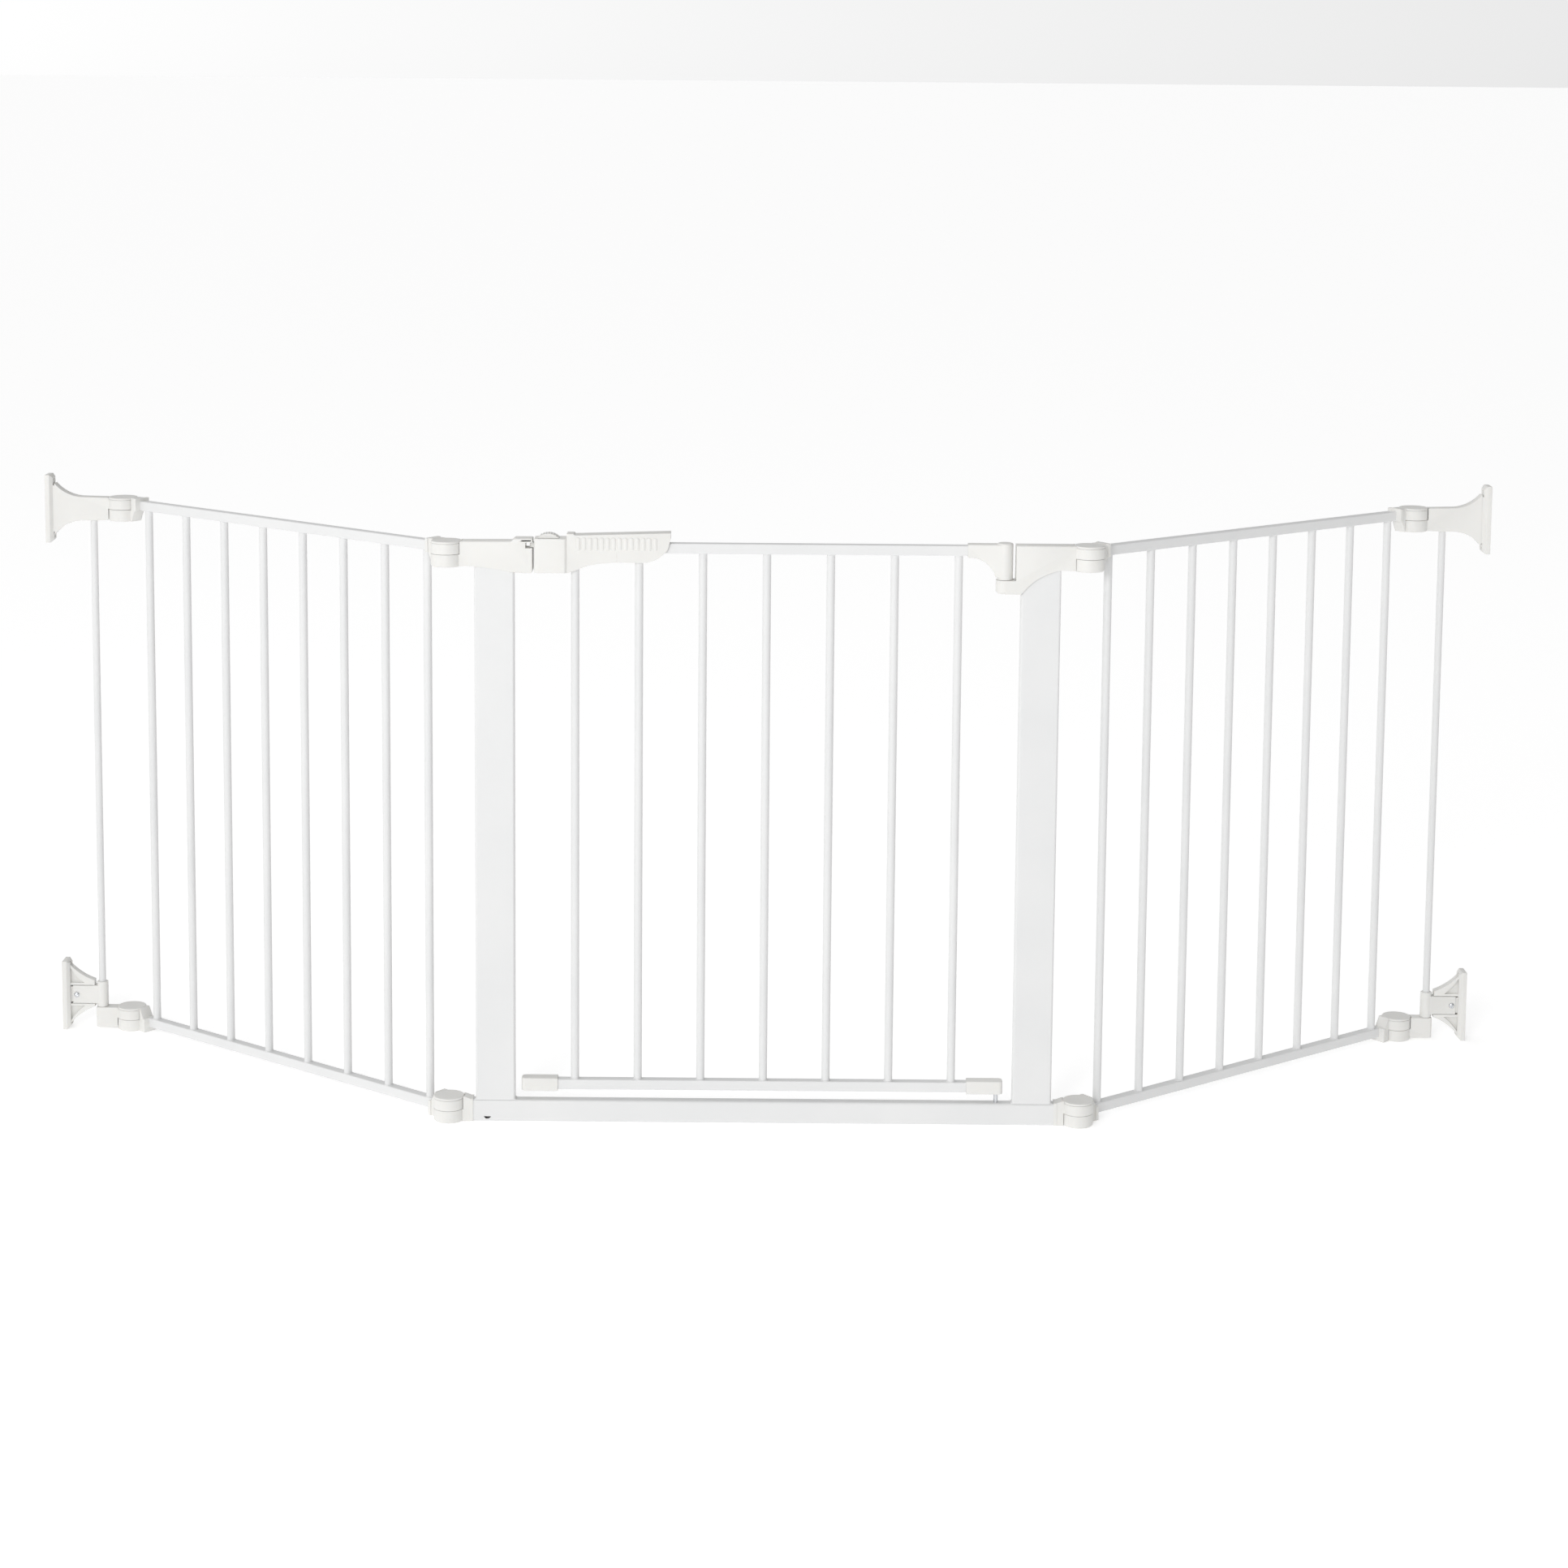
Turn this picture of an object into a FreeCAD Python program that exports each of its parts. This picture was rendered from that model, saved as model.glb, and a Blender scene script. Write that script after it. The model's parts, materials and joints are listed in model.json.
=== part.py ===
import FreeCAD, Part
import math
import os
import re

import Sketcher

# A free-standing safety gate in three sections.  A centre section holds a swing
# door; a barred side panel is hinged to each side of it, and each panel carries
# a wall mount.  X runs along the centre section, Y away from the room, Z up from
# the floor.  Every section has lower knuckles on its left end and upper knuckles
# on its right end, so that any two sections stack on one hinge bolt.

Vector = FreeCAD.Vector
Rotation = FreeCAD.Rotation
doc = FreeCAD.newDocument("safety_gate")

# ---------------------------------------------------------------- dimensions, mm
DIMS = {
    # centre section
    "hinge_half_span": 397.0,     # middle of the gate to a hinge axis
    "gate_height": 740.0,         # floor to the top of a hinge stack
    "post_inset": 34.5,           # hinge axis to the outer face of a post
    "post_width": 49.5,
    "tube_depth": 16.0,
    "tube_wall": 1.5,
    "tube_round": 3.0,
    "post_drop": 12.0,            # stack top down to the top of a post
    "bracket_screw_drop": 8.0,    # post top down to the bracket screws
    "bracket_screw_half": 12.0,
    "screw_bite": 5.0,
    "screw_head_tall": 2.2,
    "sill_height": 28.0,
    # hinge stacks
    "stack_height": 32.0,
    "seam_gap": 0.5,
    "knuckle_radius": 19.5,
    "knuckle_clear": 0.9,
    "knuckle_bevel": 1.5,
    "cap_height": 2.5,
    "cap_groove": 0.5,
    "cap_plug_radius": 6.5,
    "cap_plug_depth": 2.0,
    "bolt_radius": 3.0,
    "run_clear": 0.06,
    "head_radius": 5.0,
    "head_height": 4.5,
    "head_drop": 9.5,             # stack top down to the seat of a bolt head
    "nut_radius": 5.77,
    "nut_height": 5.0,
    "nut_rise": 1.2,
    "neck_half": 8.5,
    "sill_end_rise": 1.5,
    "sill_flange_lip": 1.0,
    "sill_spigot": 10.0,
    "sill_flange_round": 1.5,
    "moulding_round": 1.2,
    # side panels
    "panel_reach": 596.0,         # hinge axis to hinge axis
    "fold_angle": 37.2,
    "bar_setback": 9.0,           # bars stand this far behind the hinge axes
    "rail_start": 31.0,           # hinge axis to the end of a rail
    "rail_size": 12.7,
    "rail_wall": 1.2,
    "rail_round": 1.2,
    "rail_drop": 4.0,             # stack top down to the top of the upper rail
    "rail_lift": 6.0,             # floor up to the bottom of the lower rail
    "flange_thick": 4.0,
    "flange_half": 12.0,
    "flange_round": 1.0,
    "spigot_length": 24.0,
    "spigot_clear": 0.15,
    "bar_radius": 5.2,
    "bar_wall": 1.0,
    "bar_end": 41.0,              # hinge axis to the first bar
    # door
    "axis_inset": 20.0,           # post to the door's hinge axis
    "nose_reach": 23.0,           # latch housing past its post
    "nose_dip": 7.5,              # underside of the nose below the stack
    "nose_heel": 4.0,
    "nose_corner": 1.5,
    "nose_step": 3.0,
    "housing_heel": 12.0,
    "housing_sweep": 260.0,
    "top_lip": 0.5,
    "top_round": 2.0,
    "bolt_room": 3.0,             # clear space past the tip of the bolt
    "latch_gap": 2.0,
    "door_rail_drop": 1.3,
    "door_rail_lift": 42.0,
    "door_bar_margin": 76.0,      # post to the first bar, before the shift
    "door_bar_shift": -1.0,
    "barrel_radius": 10.0,
    "barrel_rise": 2.0,           # barrel top above the stack top
    "shelf_drop": 44.0,           # stack top down to the shelf under the barrel
    "shelf_thick": 17.0,
    "shelf_gap": 3.5,
    "shelf_bevel": 2.5,
    "bracket_sweep": 74.0,
    "bracket_half": 11.0,
    "arm_half": 9.0,
    "arm_length": 46.0,
    "arm_lift": 4.0,
    "arm_lip": 1.7,
    "arm_sweep": 34.0,
    "arm_round": 1.5,
    "arm_socket_end": 8.0,
    "pin_radius": 3.0,
    "pin_seat": 5.0,
    "pin_round": 0.8,
    "barrel_lid": 5.0,
    "pivot_radius": 2.75,
    "spring_bore": 7.0,
    "bearing_length": 8.0,
    "closer_wire": 0.7,
    "closer_pitch": 2.6,
    "closer_length": 26.0,
    "cap_length": 45.5,
    "cap_side": 2.0,              # wall of a door corner cap
    "cap_end_wall": 5.0,
    "cap_corner": 5.0,
    "cap_gap": 8.0,               # post to the free corner cap
    "cap_past_axis": 8.0,
    # handle and latch
    "block_length": 40.0,
    "block_half": 14.0,
    "block_rise": 4.0,            # block top above the stack top
    "block_tall": 42.5,
    "block_round": 4.0,
    "grip_half": 11.0,
    "grip_length": 168.0,         # free end of the handle to the end of the grip
    "grip_rise": 8.0,
    "grip_tip_rise": 12.0,
    "grip_dip": 13.3,             # underside of the grip above the block's
    "grip_waist": 62.0,           # block to the grip's slimmest stretch
    "grip_turn": 98.0,            # block to the start of the upsweep
    "grip_flick": 124.5,          # block to the end of the upsweep
    "grip_sweep": 170.0,
    "grip_hook": 38.0,
    "ridge_width": 8.5,           # raised end of the grip beside the button
    "ridge_rise": 2.0,
    "handle_screw_step": 16.0,    # bar to the nearest handle screw
    "screw_sink": 2.0,
    "shell_wall": 3.0,
    "bolt_travel": 7.0,
    "bolt_reach": 6.0,            # latch bolt past the handle
    "bolt_half": 4.5,
    "bolt_tall": 6.0,
    "bolt_drop": 7.5,             # stack top down to the bottom of the bolt
    "bolt_bevel": 1.5,
    "latch_coil": 3.4,
    "latch_wire": 0.5,
    "latch_pitch": 2.4,
    "carriage_length": 20.0,
    "carriage_half": 6.0,
    "carriage_tall": 14.0,
    "slide_clear": 0.3,
    "button_length": 26.5,
    "button_half": 8.0,
    "button_rise": 5.5,
    "button_setback": 4.0,
    "stem_length": 8.0,
    "stem_half": 3.0,
    # wall mounts, measured outwards from the outer hinge axis
    "rod_reach": 40.0,
    "rod_radius": 4.75,
    "rod_seat": 8.0,
    "rod_socket": 6.0,            # middle of the trumpet down to the rod's top
    "upper_wall_reach": 103.0,
    "lower_wall_reach": 93.0,
    "upper_plate_tall": 92.0,
    "lower_plate_tall": 95.5,
    "plate_half": 12.5,
    "plate_thick": 10.0,
    "plate_bevel": 4.0,
    "boss_thick": 2.0,
    "boss_inset": 3.0,
    "trumpet_neck": 16.0,         # half the trumpet's height at its neck
    "trumpet_mouth": 34.4,
    "trumpet_start": 52.0,
    "trumpet_flare": 51.4,
    "trumpet_half": 8.5,
    "trumpet_hollow": 20.0,
    "trumpet_wall": 2.5,
    "trumpet_skin": 3.5,
    "foot_length": 48.0,
    "foot_inset": 3.0,
    "foot_top_inset": 1.0,
    "foot_round": 4.0,
    "sleeve_radius": 7.7,
    "sleeve_tall": 35.0,
    "sleeve_gap": 0.4,
    "tongue_end": 79.5,
    "tongue_half": 6.5,
    "tongue_tall": 25.0,
    "tongue_lift": 5.0,
    "tongue_wall": 1.6,
    "tongue_round": 1.0,
    "stub_inset": 4.0,
    "stub_clear": 0.25,
    "gusset_end": 50.0,
    "gusset_half": 6.0,
    "gusset_rim": 3.0,
    "gusset_web": 2.0,
    "gusset_sweep": 80.0,
    "gusset_clear": 0.7,
    "upper_gusset_root": 5.0,
    "upper_gusset_tip": 7.5,
    "lower_gusset_root": 6.0,
    "lower_gusset_tip": 4.5,
    "wall_screw_radius": 2.25,
    "lower_screw_spacing": 82.0,
    "upper_screw_spacing": 77.0,
    "driver_radius": 4.3,
    "driver_depth": 3.0,
    "set_screw_radius": 2.0,
    "set_screw_head": 3.9,
    "set_screw_dome": 2.4,
    "set_screw_inset": 5.0,
    "bracket_travel": 12.0,
    "drain_radius": 4.7,
    "drain_low": 3.3,
    "drain_top": 6.6,
    "drain_inset": 18.0,
}

PANEL_BARS = 8
DOOR_BARS = 7

# Places and sizes that follow from the driving dimensions.
DERIVED = {
    "post_outer": "hinge_half_span - post_inset",
    "post_inner": "post_outer - post_width",
    "post_top": "gate_height - post_drop",
    "tube_half": "tube_depth / 2",
    "sill_end": "hinge_half_span - rail_start",
    "upper_stack": "gate_height - stack_height",
    "lower_stack": "0",
    "half_stack": "(stack_height - seam_gap) / 2",
    "cap_seat": "stack_height - cap_height - cap_groove",
    "upper_mid": "gate_height - stack_height / 2",
    "rail_half": "rail_size / 2",
    "rail_length": "panel_reach - 2 * rail_start",
    "top_rail_low": "gate_height - rail_drop - rail_size",
    "bottom_rail_top": "rail_lift + rail_size",
    "bar_pitch": f"(panel_reach - 2 * bar_end) / {PANEL_BARS - 1}",
    "flange_start": "rail_start - flange_thick",
    "spigot_half": "rail_half - rail_wall - spigot_clear",
    "door_axis": "post_inner - axis_inset",
    "door_bar_pitch": f"2 * (post_inner - door_bar_margin) / {DOOR_BARS - 1}",
    "first_bar": f"door_bar_shift - {(DOOR_BARS - 1) // 2} * door_bar_pitch",
    "nose_end": "post_inner - nose_reach",
    "free_end": "nose_end - latch_gap",
    "door_top_low": "gate_height - door_rail_drop - rail_size",
    "door_low_top": "door_rail_lift + rail_size",
    "shelf_top": "gate_height - shelf_drop",
    "barrel_low": "shelf_top + seam_gap",
    "barrel_top": "gate_height + barrel_rise",
    "block_top": "gate_height + block_rise",
    "block_low": "block_top - block_tall",
    "grip_end": "grip_length - free_end",
    "rail_in_handle": "free_end - block_length - shell_wall",
    "bolt_low": "gate_height - bolt_drop",
    "bolt_top": "bolt_low + bolt_tall",
    "outer_x": "hinge_half_span + panel_reach * cos(fold_angle)",
    "outer_y": "panel_reach * sin(fold_angle)",
    "foot_top": "stack_height - foot_top_inset",
    "tongue_low": "foot_top + tongue_lift",
    "tongue_top": "tongue_low + tongue_tall",
    "tongue_mid": "tongue_low + tongue_tall / 2",
    "sleeve_low": "foot_top + sleeve_gap",
    "sleeve_top": "sleeve_low + sleeve_tall",
    "upper_plate_face": "upper_wall_reach - plate_thick",
    "lower_plate_face": "lower_wall_reach - plate_thick",
    "trumpet_end": "upper_plate_face - boss_thick",
    "lower_plate_low": "tongue_mid - lower_plate_tall / 2",
    "lower_plate_top": "tongue_mid + lower_plate_tall / 2",
    "stub_half": "tongue_half - tongue_wall - stub_clear",
    "stub_low": "tongue_low + tongue_wall + stub_clear",
    "stub_top": "tongue_top - tongue_wall - stub_clear",
    "set_screw_x": "tongue_end - set_screw_inset",
}

sheet = doc.addObject("Spreadsheet::Sheet", "dims")
for row, (alias, value) in enumerate(DIMS.items(), start=1):
    sheet.set(f"A{row}", alias)
    sheet.set(f"B{row}", str(value))
    sheet.setAlias(f"B{row}", alias)
doc.recompute()


# ---------------------------------------------------------------- formulas
def link(formula):
    """Turns a formula in the names above into an expression on the sheet."""
    def swap(match):
        word = match.group()
        if word in DERIVED:
            return "(" + link(DERIVED[word]) + ")"
        return "dims." + word if word in DIMS else word
    return re.sub(r"[a-z]\w*", swap, str(formula))


def number(formula):
    """The value of a formula now, for what can't be bound to the sheet."""
    return float(sheet.evalExpression(link(formula)))


def span(low, high):
    return f"({high}) - ({low})"


# ---------------------------------------------------------------- building blocks
def place(thing, at, turn=None):
    """Puts an object at a point given by three formulas."""
    if turn is not None:
        thing.Placement = FreeCAD.Placement(Vector(), turn)
    for axis, formula in zip("xyz", at):
        thing.setExpression(f"Placement.Base.{axis}", link(formula))
    return thing


def block(x, y, z):
    """A box between two formulas on each axis."""
    box = doc.addObject("Part::Box", "block")
    for prop, side in zip(("Length", "Width", "Height"), (x, y, z)):
        box.setExpression(prop, link(span(*side)))
    return place(box, (x[0], y[0], z[0]))


def round_bar(radius, centre, z):
    """An upright cylinder."""
    bar = doc.addObject("Part::Cylinder", "round_bar")
    bar.setExpression("Radius", link(radius))
    bar.setExpression("Height", link(span(*z)))
    return place(bar, (centre[0], centre[1], z[0]))


def spindle(radius, x, y, z):
    """A cylinder along X or Y: the axis that is given as a pair of formulas."""
    bar = doc.addObject("Part::Cylinder", "spindle")
    bar.setExpression("Radius", link(radius))
    if isinstance(x, tuple):
        bar.setExpression("Height", link(span(*x)))
        return place(bar, (x[0], y, z), Rotation(Vector(0, 1, 0), 90))
    bar.setExpression("Height", link(span(*y)))
    return place(bar, (x, y[0], z), Rotation(Vector(1, 0, 0), -90))


def hexagon(radius, centre, z):
    """An upright hexagonal bar, for nuts and their pockets."""
    bar = doc.addObject("Part::Prism", "hexagon")
    bar.Polygon = 6
    bar.setExpression("Circumradius", link(radius))
    bar.setExpression("Height", link(span(*z)))
    return place(bar, (centre[0], centre[1], z[0]))


def fuse(*things):
    joined = doc.addObject("Part::MultiFuse", "joined")
    joined.Shapes = list(things)
    joined.Refine = True
    return joined


def cut(thing, *tools):
    for tool in tools:
        rest = doc.addObject("Part::Cut", "cut")
        rest.Base = thing
        rest.Tool = tool
        rest.Refine = True
        thing = rest
    return thing


def common(thing, other):
    overlap = doc.addObject("Part::Common", "overlap")
    overlap.Base = thing
    overlap.Tool = other
    return overlap


def group(*things):
    """Separate solids kept in one sub-part."""
    gathered = doc.addObject("Part::Compound", "gathered")
    gathered.Links = list(things)
    return gathered


def dress(kind, thing, radius, pick):
    """Fillets or chamfers the edges of a thing that pick chooses."""
    doc.recompute()
    dressed = doc.addObject(kind, "dressed")
    dressed.Base = thing
    size = number(radius)
    dressed.Edges = [(i, size, size) for i, edge in enumerate(thing.Shape.Edges, 1) if pick(edge)]
    return dressed


def rounded(thing, radius, pick):
    return dress("Part::Fillet", thing, radius, pick)


def bevelled(thing, radius, pick):
    return dress("Part::Chamfer", thing, radius, pick)


def along(axis, where=lambda point: True):
    """Picks straight edges parallel to an axis whose middle passes a test."""
    def pick(edge):
        if edge.Curve.TypeId != "Part::GeomLine":
            return False
        run = edge.tangentAt(edge.FirstParameter)
        return abs(getattr(run, axis)) > 0.999 and where(edge.CenterOfMass)
    return pick


def rims(height):
    """Picks circles at a height."""
    level = number(height)

    def pick(edge):
        return edge.Curve.TypeId == "Part::GeomCircle" and abs(edge.CenterOfMass.z - level) < 0.01
    return pick


def sketch_in(body, role):
    sketch = body.newObject("Sketcher::SketchObject", "outline")
    plane = next(o for o in body.Origin.OriginFeatures if o.Role == role)
    sketch.AttachmentSupport = [(plane, "")]
    sketch.MapMode = "FlatFace"
    return sketch


def arc_middle(start, end, radius):
    """The middle of an arc from start to end; a positive radius turns it to the left."""
    chord = end - start
    rise = math.sqrt(max(radius ** 2 - chord.Length ** 2 / 4, 0))
    left = Vector(-chord.y, chord.x, 0).normalize() * math.copysign(1, radius)
    return (start + end) / 2 + left * (rise - abs(radius))


def draw(sketch, outline):
    """Draws a closed outline and ties each corner, and each arc's radius, to the sheet.

    A corner is (across, up), or (across, up, radius) where an arc runs on to the next.
    """
    corners = [Vector(number(c[0]), number(c[1]), 0) for c in outline]
    joints = []
    for i, corner in enumerate(outline):
        start, end = corners[i], corners[(i + 1) % len(corners)]
        if len(corner) == 2:
            sketch.addGeometry(Part.LineSegment(start, end))
            joints.append((1, 2))
            continue
        radius = number(corner[2])
        middle = arc_middle(start, end, radius)
        # a sketch keeps its arcs turning left, so a right turn is drawn from its end
        sketch.addGeometry(Part.Arc(start, middle, end) if radius > 0 else Part.Arc(end, middle, start))
        joints.append((1, 2) if radius > 0 else (2, 1))
    for i, (_, last) in enumerate(joints):
        after = (i + 1) % len(joints)
        sketch.addConstraint(Sketcher.Constraint("Coincident", i, last, after, joints[after][0]))
    for i, corner in enumerate(outline):
        for kind, formula in zip(("DistanceX", "DistanceY"), corner):
            rule = Sketcher.Constraint(kind, -1, 1, i, joints[i][0], number(formula))
            index = sketch.addConstraint(rule)
            sketch.setExpression(f"Constraints[{index}]", link(f"({formula}) * 1mm"))
        if len(corner) == 3:
            index = sketch.addConstraint(Sketcher.Constraint("Radius", i, abs(number(corner[2]))))
            sketch.setExpression(f"Constraints[{index}]", link(f"abs({corner[2]}) * 1mm"))


def profile(outline, y):
    """A plate whose outline is drawn in X and Z and padded between two formulas in Y."""
    body = doc.addObject("PartDesign::Body", "plate")
    sketch = sketch_in(body, "XZ_Plane")
    draw(sketch, outline)
    pad = body.newObject("PartDesign::Pad", "pad")
    pad.Profile = sketch
    pad.SideType = "Symmetric"
    pad.setExpression("Length", link(span(*y)))
    return place(body, ("0", f"(({y[0]}) + ({y[1]})) / 2", "0"))


def tube(length_axis, across, start, length, wall, corner):
    """A rectangular steel tube with rounded corners: a pad, a pocket and two fillets.

    across holds the outer half width and half depth; the tube starts at a formula
    along its axis, and stands along Z or lies along X.
    """
    body = doc.addObject("PartDesign::Body", "tube")
    role = "XY_Plane" if length_axis == "z" else "YZ_Plane"
    half_w, half_d = across
    sketch = sketch_in(body, role)
    draw(sketch, [(f"-({half_w})", f"-({half_d})"), (half_w, f"-({half_d})"),
                  (half_w, half_d), (f"-({half_w})", half_d)])
    pad = body.newObject("PartDesign::Pad", "pad")
    pad.Profile = sketch
    pad.setExpression("Length", link(length))
    doc.recompute()
    rounds = body.newObject("PartDesign::Fillet", "corners")
    picked = [f"Edge{i}" for i, edge in enumerate(pad.Shape.Edges, 1) if along(length_axis)(edge)]
    rounds.Base = (pad, picked)
    rounds.setExpression("Radius", link(corner))
    bore = sketch_in(body, role)
    in_w, in_d = f"({half_w}) - {wall}", f"({half_d}) - {wall}"
    draw(bore, [(f"-({in_w})", f"-({in_d})"), (in_w, f"-({in_d})"),
                (in_w, in_d), (f"-({in_w})", in_d)])
    pocket = body.newObject("PartDesign::Pocket", "hollow")
    pocket.Profile = bore
    pocket.Type = "ThroughAll"
    pocket.Reversed = True
    body.setExpression(f"Placement.Base.{length_axis}", link(start))
    return body


def row_of_tubes(count, first, pitch, y, z, radius, wall):
    """Upright round tubes in a row, from one sketch."""
    rings = doc.addObject("Sketcher::SketchObject", "rings")
    for i in range(count):
        for size in (radius, f"{radius} - {wall}"):
            across = f"({first}) + {i} * {pitch}"
            centre = Vector(number(across), number(y), 0)
            ring = rings.addGeometry(Part.Circle(centre, Vector(0, 0, 1), number(size)))
            rules = (("Radius", (ring,), size), ("DistanceX", (-1, 1, ring, 3), across),
                     ("DistanceY", (-1, 1, ring, 3), y))
            for kind, where, formula in rules:
                index = rings.addConstraint(Sketcher.Constraint(kind, *where, number(formula)))
                rings.setExpression(f"Constraints[{index}]", link(f"({formula}) * 1mm"))
    bars = doc.addObject("Part::Extrusion", "bars")
    bars.Base = rings
    bars.DirMode = "Normal"
    bars.Solid = True
    bars.FaceMakerClass = "Part::FaceMakerBullseye"
    bars.setExpression("LengthFwd", link(f"({span(*z)}) * 1mm"))
    rings.setExpression("Placement.Base.z", link(z[0]))
    return bars


def coil(radius, wire, pitch, length, at, turn=None):
    """A coil spring whose helix starts at a point."""
    helix = doc.addObject("Part::Helix", "helix")
    wire_ring = doc.addObject("Part::Circle", "wire")
    for thing, prop, formula in ((helix, "Radius", radius), (helix, "Pitch", pitch),
                                 (helix, "Height", length), (wire_ring, "Radius", wire)):
        thing.setExpression(prop, link(formula))
    place(wire_ring, (radius, "0", "0"), Rotation(Vector(1, 0, 0), 90))
    spring = doc.addObject("Part::Sweep", "spring")
    spring.Sections = [wire_ring]
    spring.Spine = (helix, ["Edge1"])
    spring.Solid = True
    spring.Frenet = True
    return place(spring, at, turn)


# ---------------------------------------------------------------- sub-parts
sub_parts = {}


def node(name, thing, spot=None):
    """Names a finished sub-part and puts it in its section's place."""
    thing.Label = name
    if spot is not None:
        spot(thing)
    sub_parts[name] = thing


# ---------------------------------------------------------------- hinge stacks
def knuckle_span(upper, stack):
    """The heights that a knuckle fills in its stack."""
    if upper:
        return f"{stack} + half_stack + seam_gap", f"{stack} + cap_seat"
    return stack, f"{stack} + half_stack"


def with_knuckle(arm, axis_x, stack, upper):
    """Joins an arm to its knuckle, clears its neighbour's knuckle and bores both."""
    centre = (axis_x, "0")
    low, high = knuckle_span(upper, stack)
    disc = round_bar("knuckle_radius", centre, (low, high))
    reach = "knuckle_radius + knuckle_clear"
    if upper:
        arm = cut(arm, round_bar(reach, centre, (f"{stack} - 1", low)),
                  round_bar("knuckle_radius + slide_clear", centre, (high, f"{stack} + stack_height + 1")))
        head = f"{stack} + stack_height - head_drop"
        bores = [round_bar("bolt_radius + run_clear", centre, (f"{low} - 1", f"{high} + 1")),
                 round_bar("cap_plug_radius + run_clear", centre, (head, f"{high} + 1"))]
    else:
        disc = bevelled(disc, "knuckle_bevel", rims(low))
        arm = cut(arm, round_bar(reach, centre, (high, f"{stack} + stack_height + 1")))
        pocket_top = f"{stack} + nut_rise + nut_height"
        bores = [round_bar("bolt_radius + run_clear", centre, (f"{low} - 1", f"{high} + 1")),
                 hexagon("nut_radius + slide_clear", centre, (f"{low} - 1", pocket_top))]
    return cut(fuse(arm, disc), *bores)


def hinge_bolt(axis_x, stack):
    """A socket-head bolt seated in the upper knuckle."""
    centre = (axis_x, "0")
    seat = f"{stack} + stack_height - head_drop"
    shank = round_bar("bolt_radius", centre, (f"{stack} + nut_rise", seat))
    head = round_bar("head_radius", centre, (seat, f"{seat} + head_height"))
    socket = hexagon("bolt_radius", centre, (f"{seat} + head_height / 2", f"{seat} + head_height + 1"))
    return cut(fuse(shank, head), socket)


def hinge_nut(axis_x, stack):
    """A nut held in the lower knuckle's pocket."""
    centre = (axis_x, "0")
    low = f"{stack} + nut_rise"
    nut = hexagon("nut_radius", centre, (low, f"{low} + nut_height"))
    return cut(nut, round_bar("bolt_radius + run_clear", centre, (f"{low} - 1", f"{low} + nut_height + 1")))


def hinge_cap(axis_x, stack):
    """A push-in cap over the bolt, standing clear of its knuckle by a groove."""
    centre = (axis_x, "0")
    top = f"{stack} + stack_height"
    lid = round_bar("knuckle_radius", centre, (f"{top} - cap_height", top))
    lid = rounded(lid, "cap_height / 2", rims(top))
    plug = round_bar("cap_plug_radius", centre, (f"{stack} + cap_seat - cap_plug_depth", f"{top} - cap_height"))
    step = round_bar("knuckle_radius - cap_groove * 2", centre, (f"{stack} + cap_seat", f"{top} - cap_height"))
    return fuse(lid, step, plug)


STACKS = ("upper_stack", "lower_stack")


# ---------------------------------------------------------------- side panels
def panel_end(right, top):
    """The moulded end of a panel rail: spigot, flange, sloping neck and knuckle."""
    axis_x, sign = ("panel_reach", "-1") if right else ("0", "1")
    stack = "upper_stack" if top else "lower_stack"

    def out(reach):
        return f"{axis_x} + ({sign}) * ({reach})"
    high = f"{stack} + stack_height"
    if top:
        outline = [(out("0"), stack), (out("knuckle_radius + knuckle_clear"), stack),
                   (out("flange_start"), "top_rail_low"), (out("flange_start"), high), (out("0"), high)]
        flange_z = ("top_rail_low - seam_gap", high)
        spigot_low = "top_rail_low + rail_wall + spigot_clear"
    else:
        outline = [(out("0"), stack), (out("flange_start"), stack), (out("flange_start"), "bottom_rail_top"),
                   (out("knuckle_radius + knuckle_clear"), high), (out("0"), high)]
        flange_z = (stack, "bottom_rail_top + seam_gap")
        spigot_low = "rail_lift + rail_wall + spigot_clear"
    neck = profile(outline, ("-neck_half / 2", "neck_half / 2 + bar_setback"))
    piece = with_knuckle(neck, axis_x, stack, right)
    sides = [out("flange_start"), out("rail_start"), out("rail_start + spigot_length")]
    flange_x = (sides[1], sides[0]) if right else (sides[0], sides[1])
    spigot_x = (sides[2], sides[1]) if right else (sides[1], sides[2])
    middle = "bar_setback - neck_half / 3"
    flange = block(flange_x, (f"{middle} - flange_half", f"{middle} + flange_half"), flange_z)
    flange = rounded(flange, "flange_round", along("x"))
    spigot = block(spigot_x, ("bar_setback - spigot_half", "bar_setback + spigot_half"),
                   (spigot_low, f"{spigot_low} + 2 * spigot_half"))
    return fuse(piece, flange, spigot)


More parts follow.
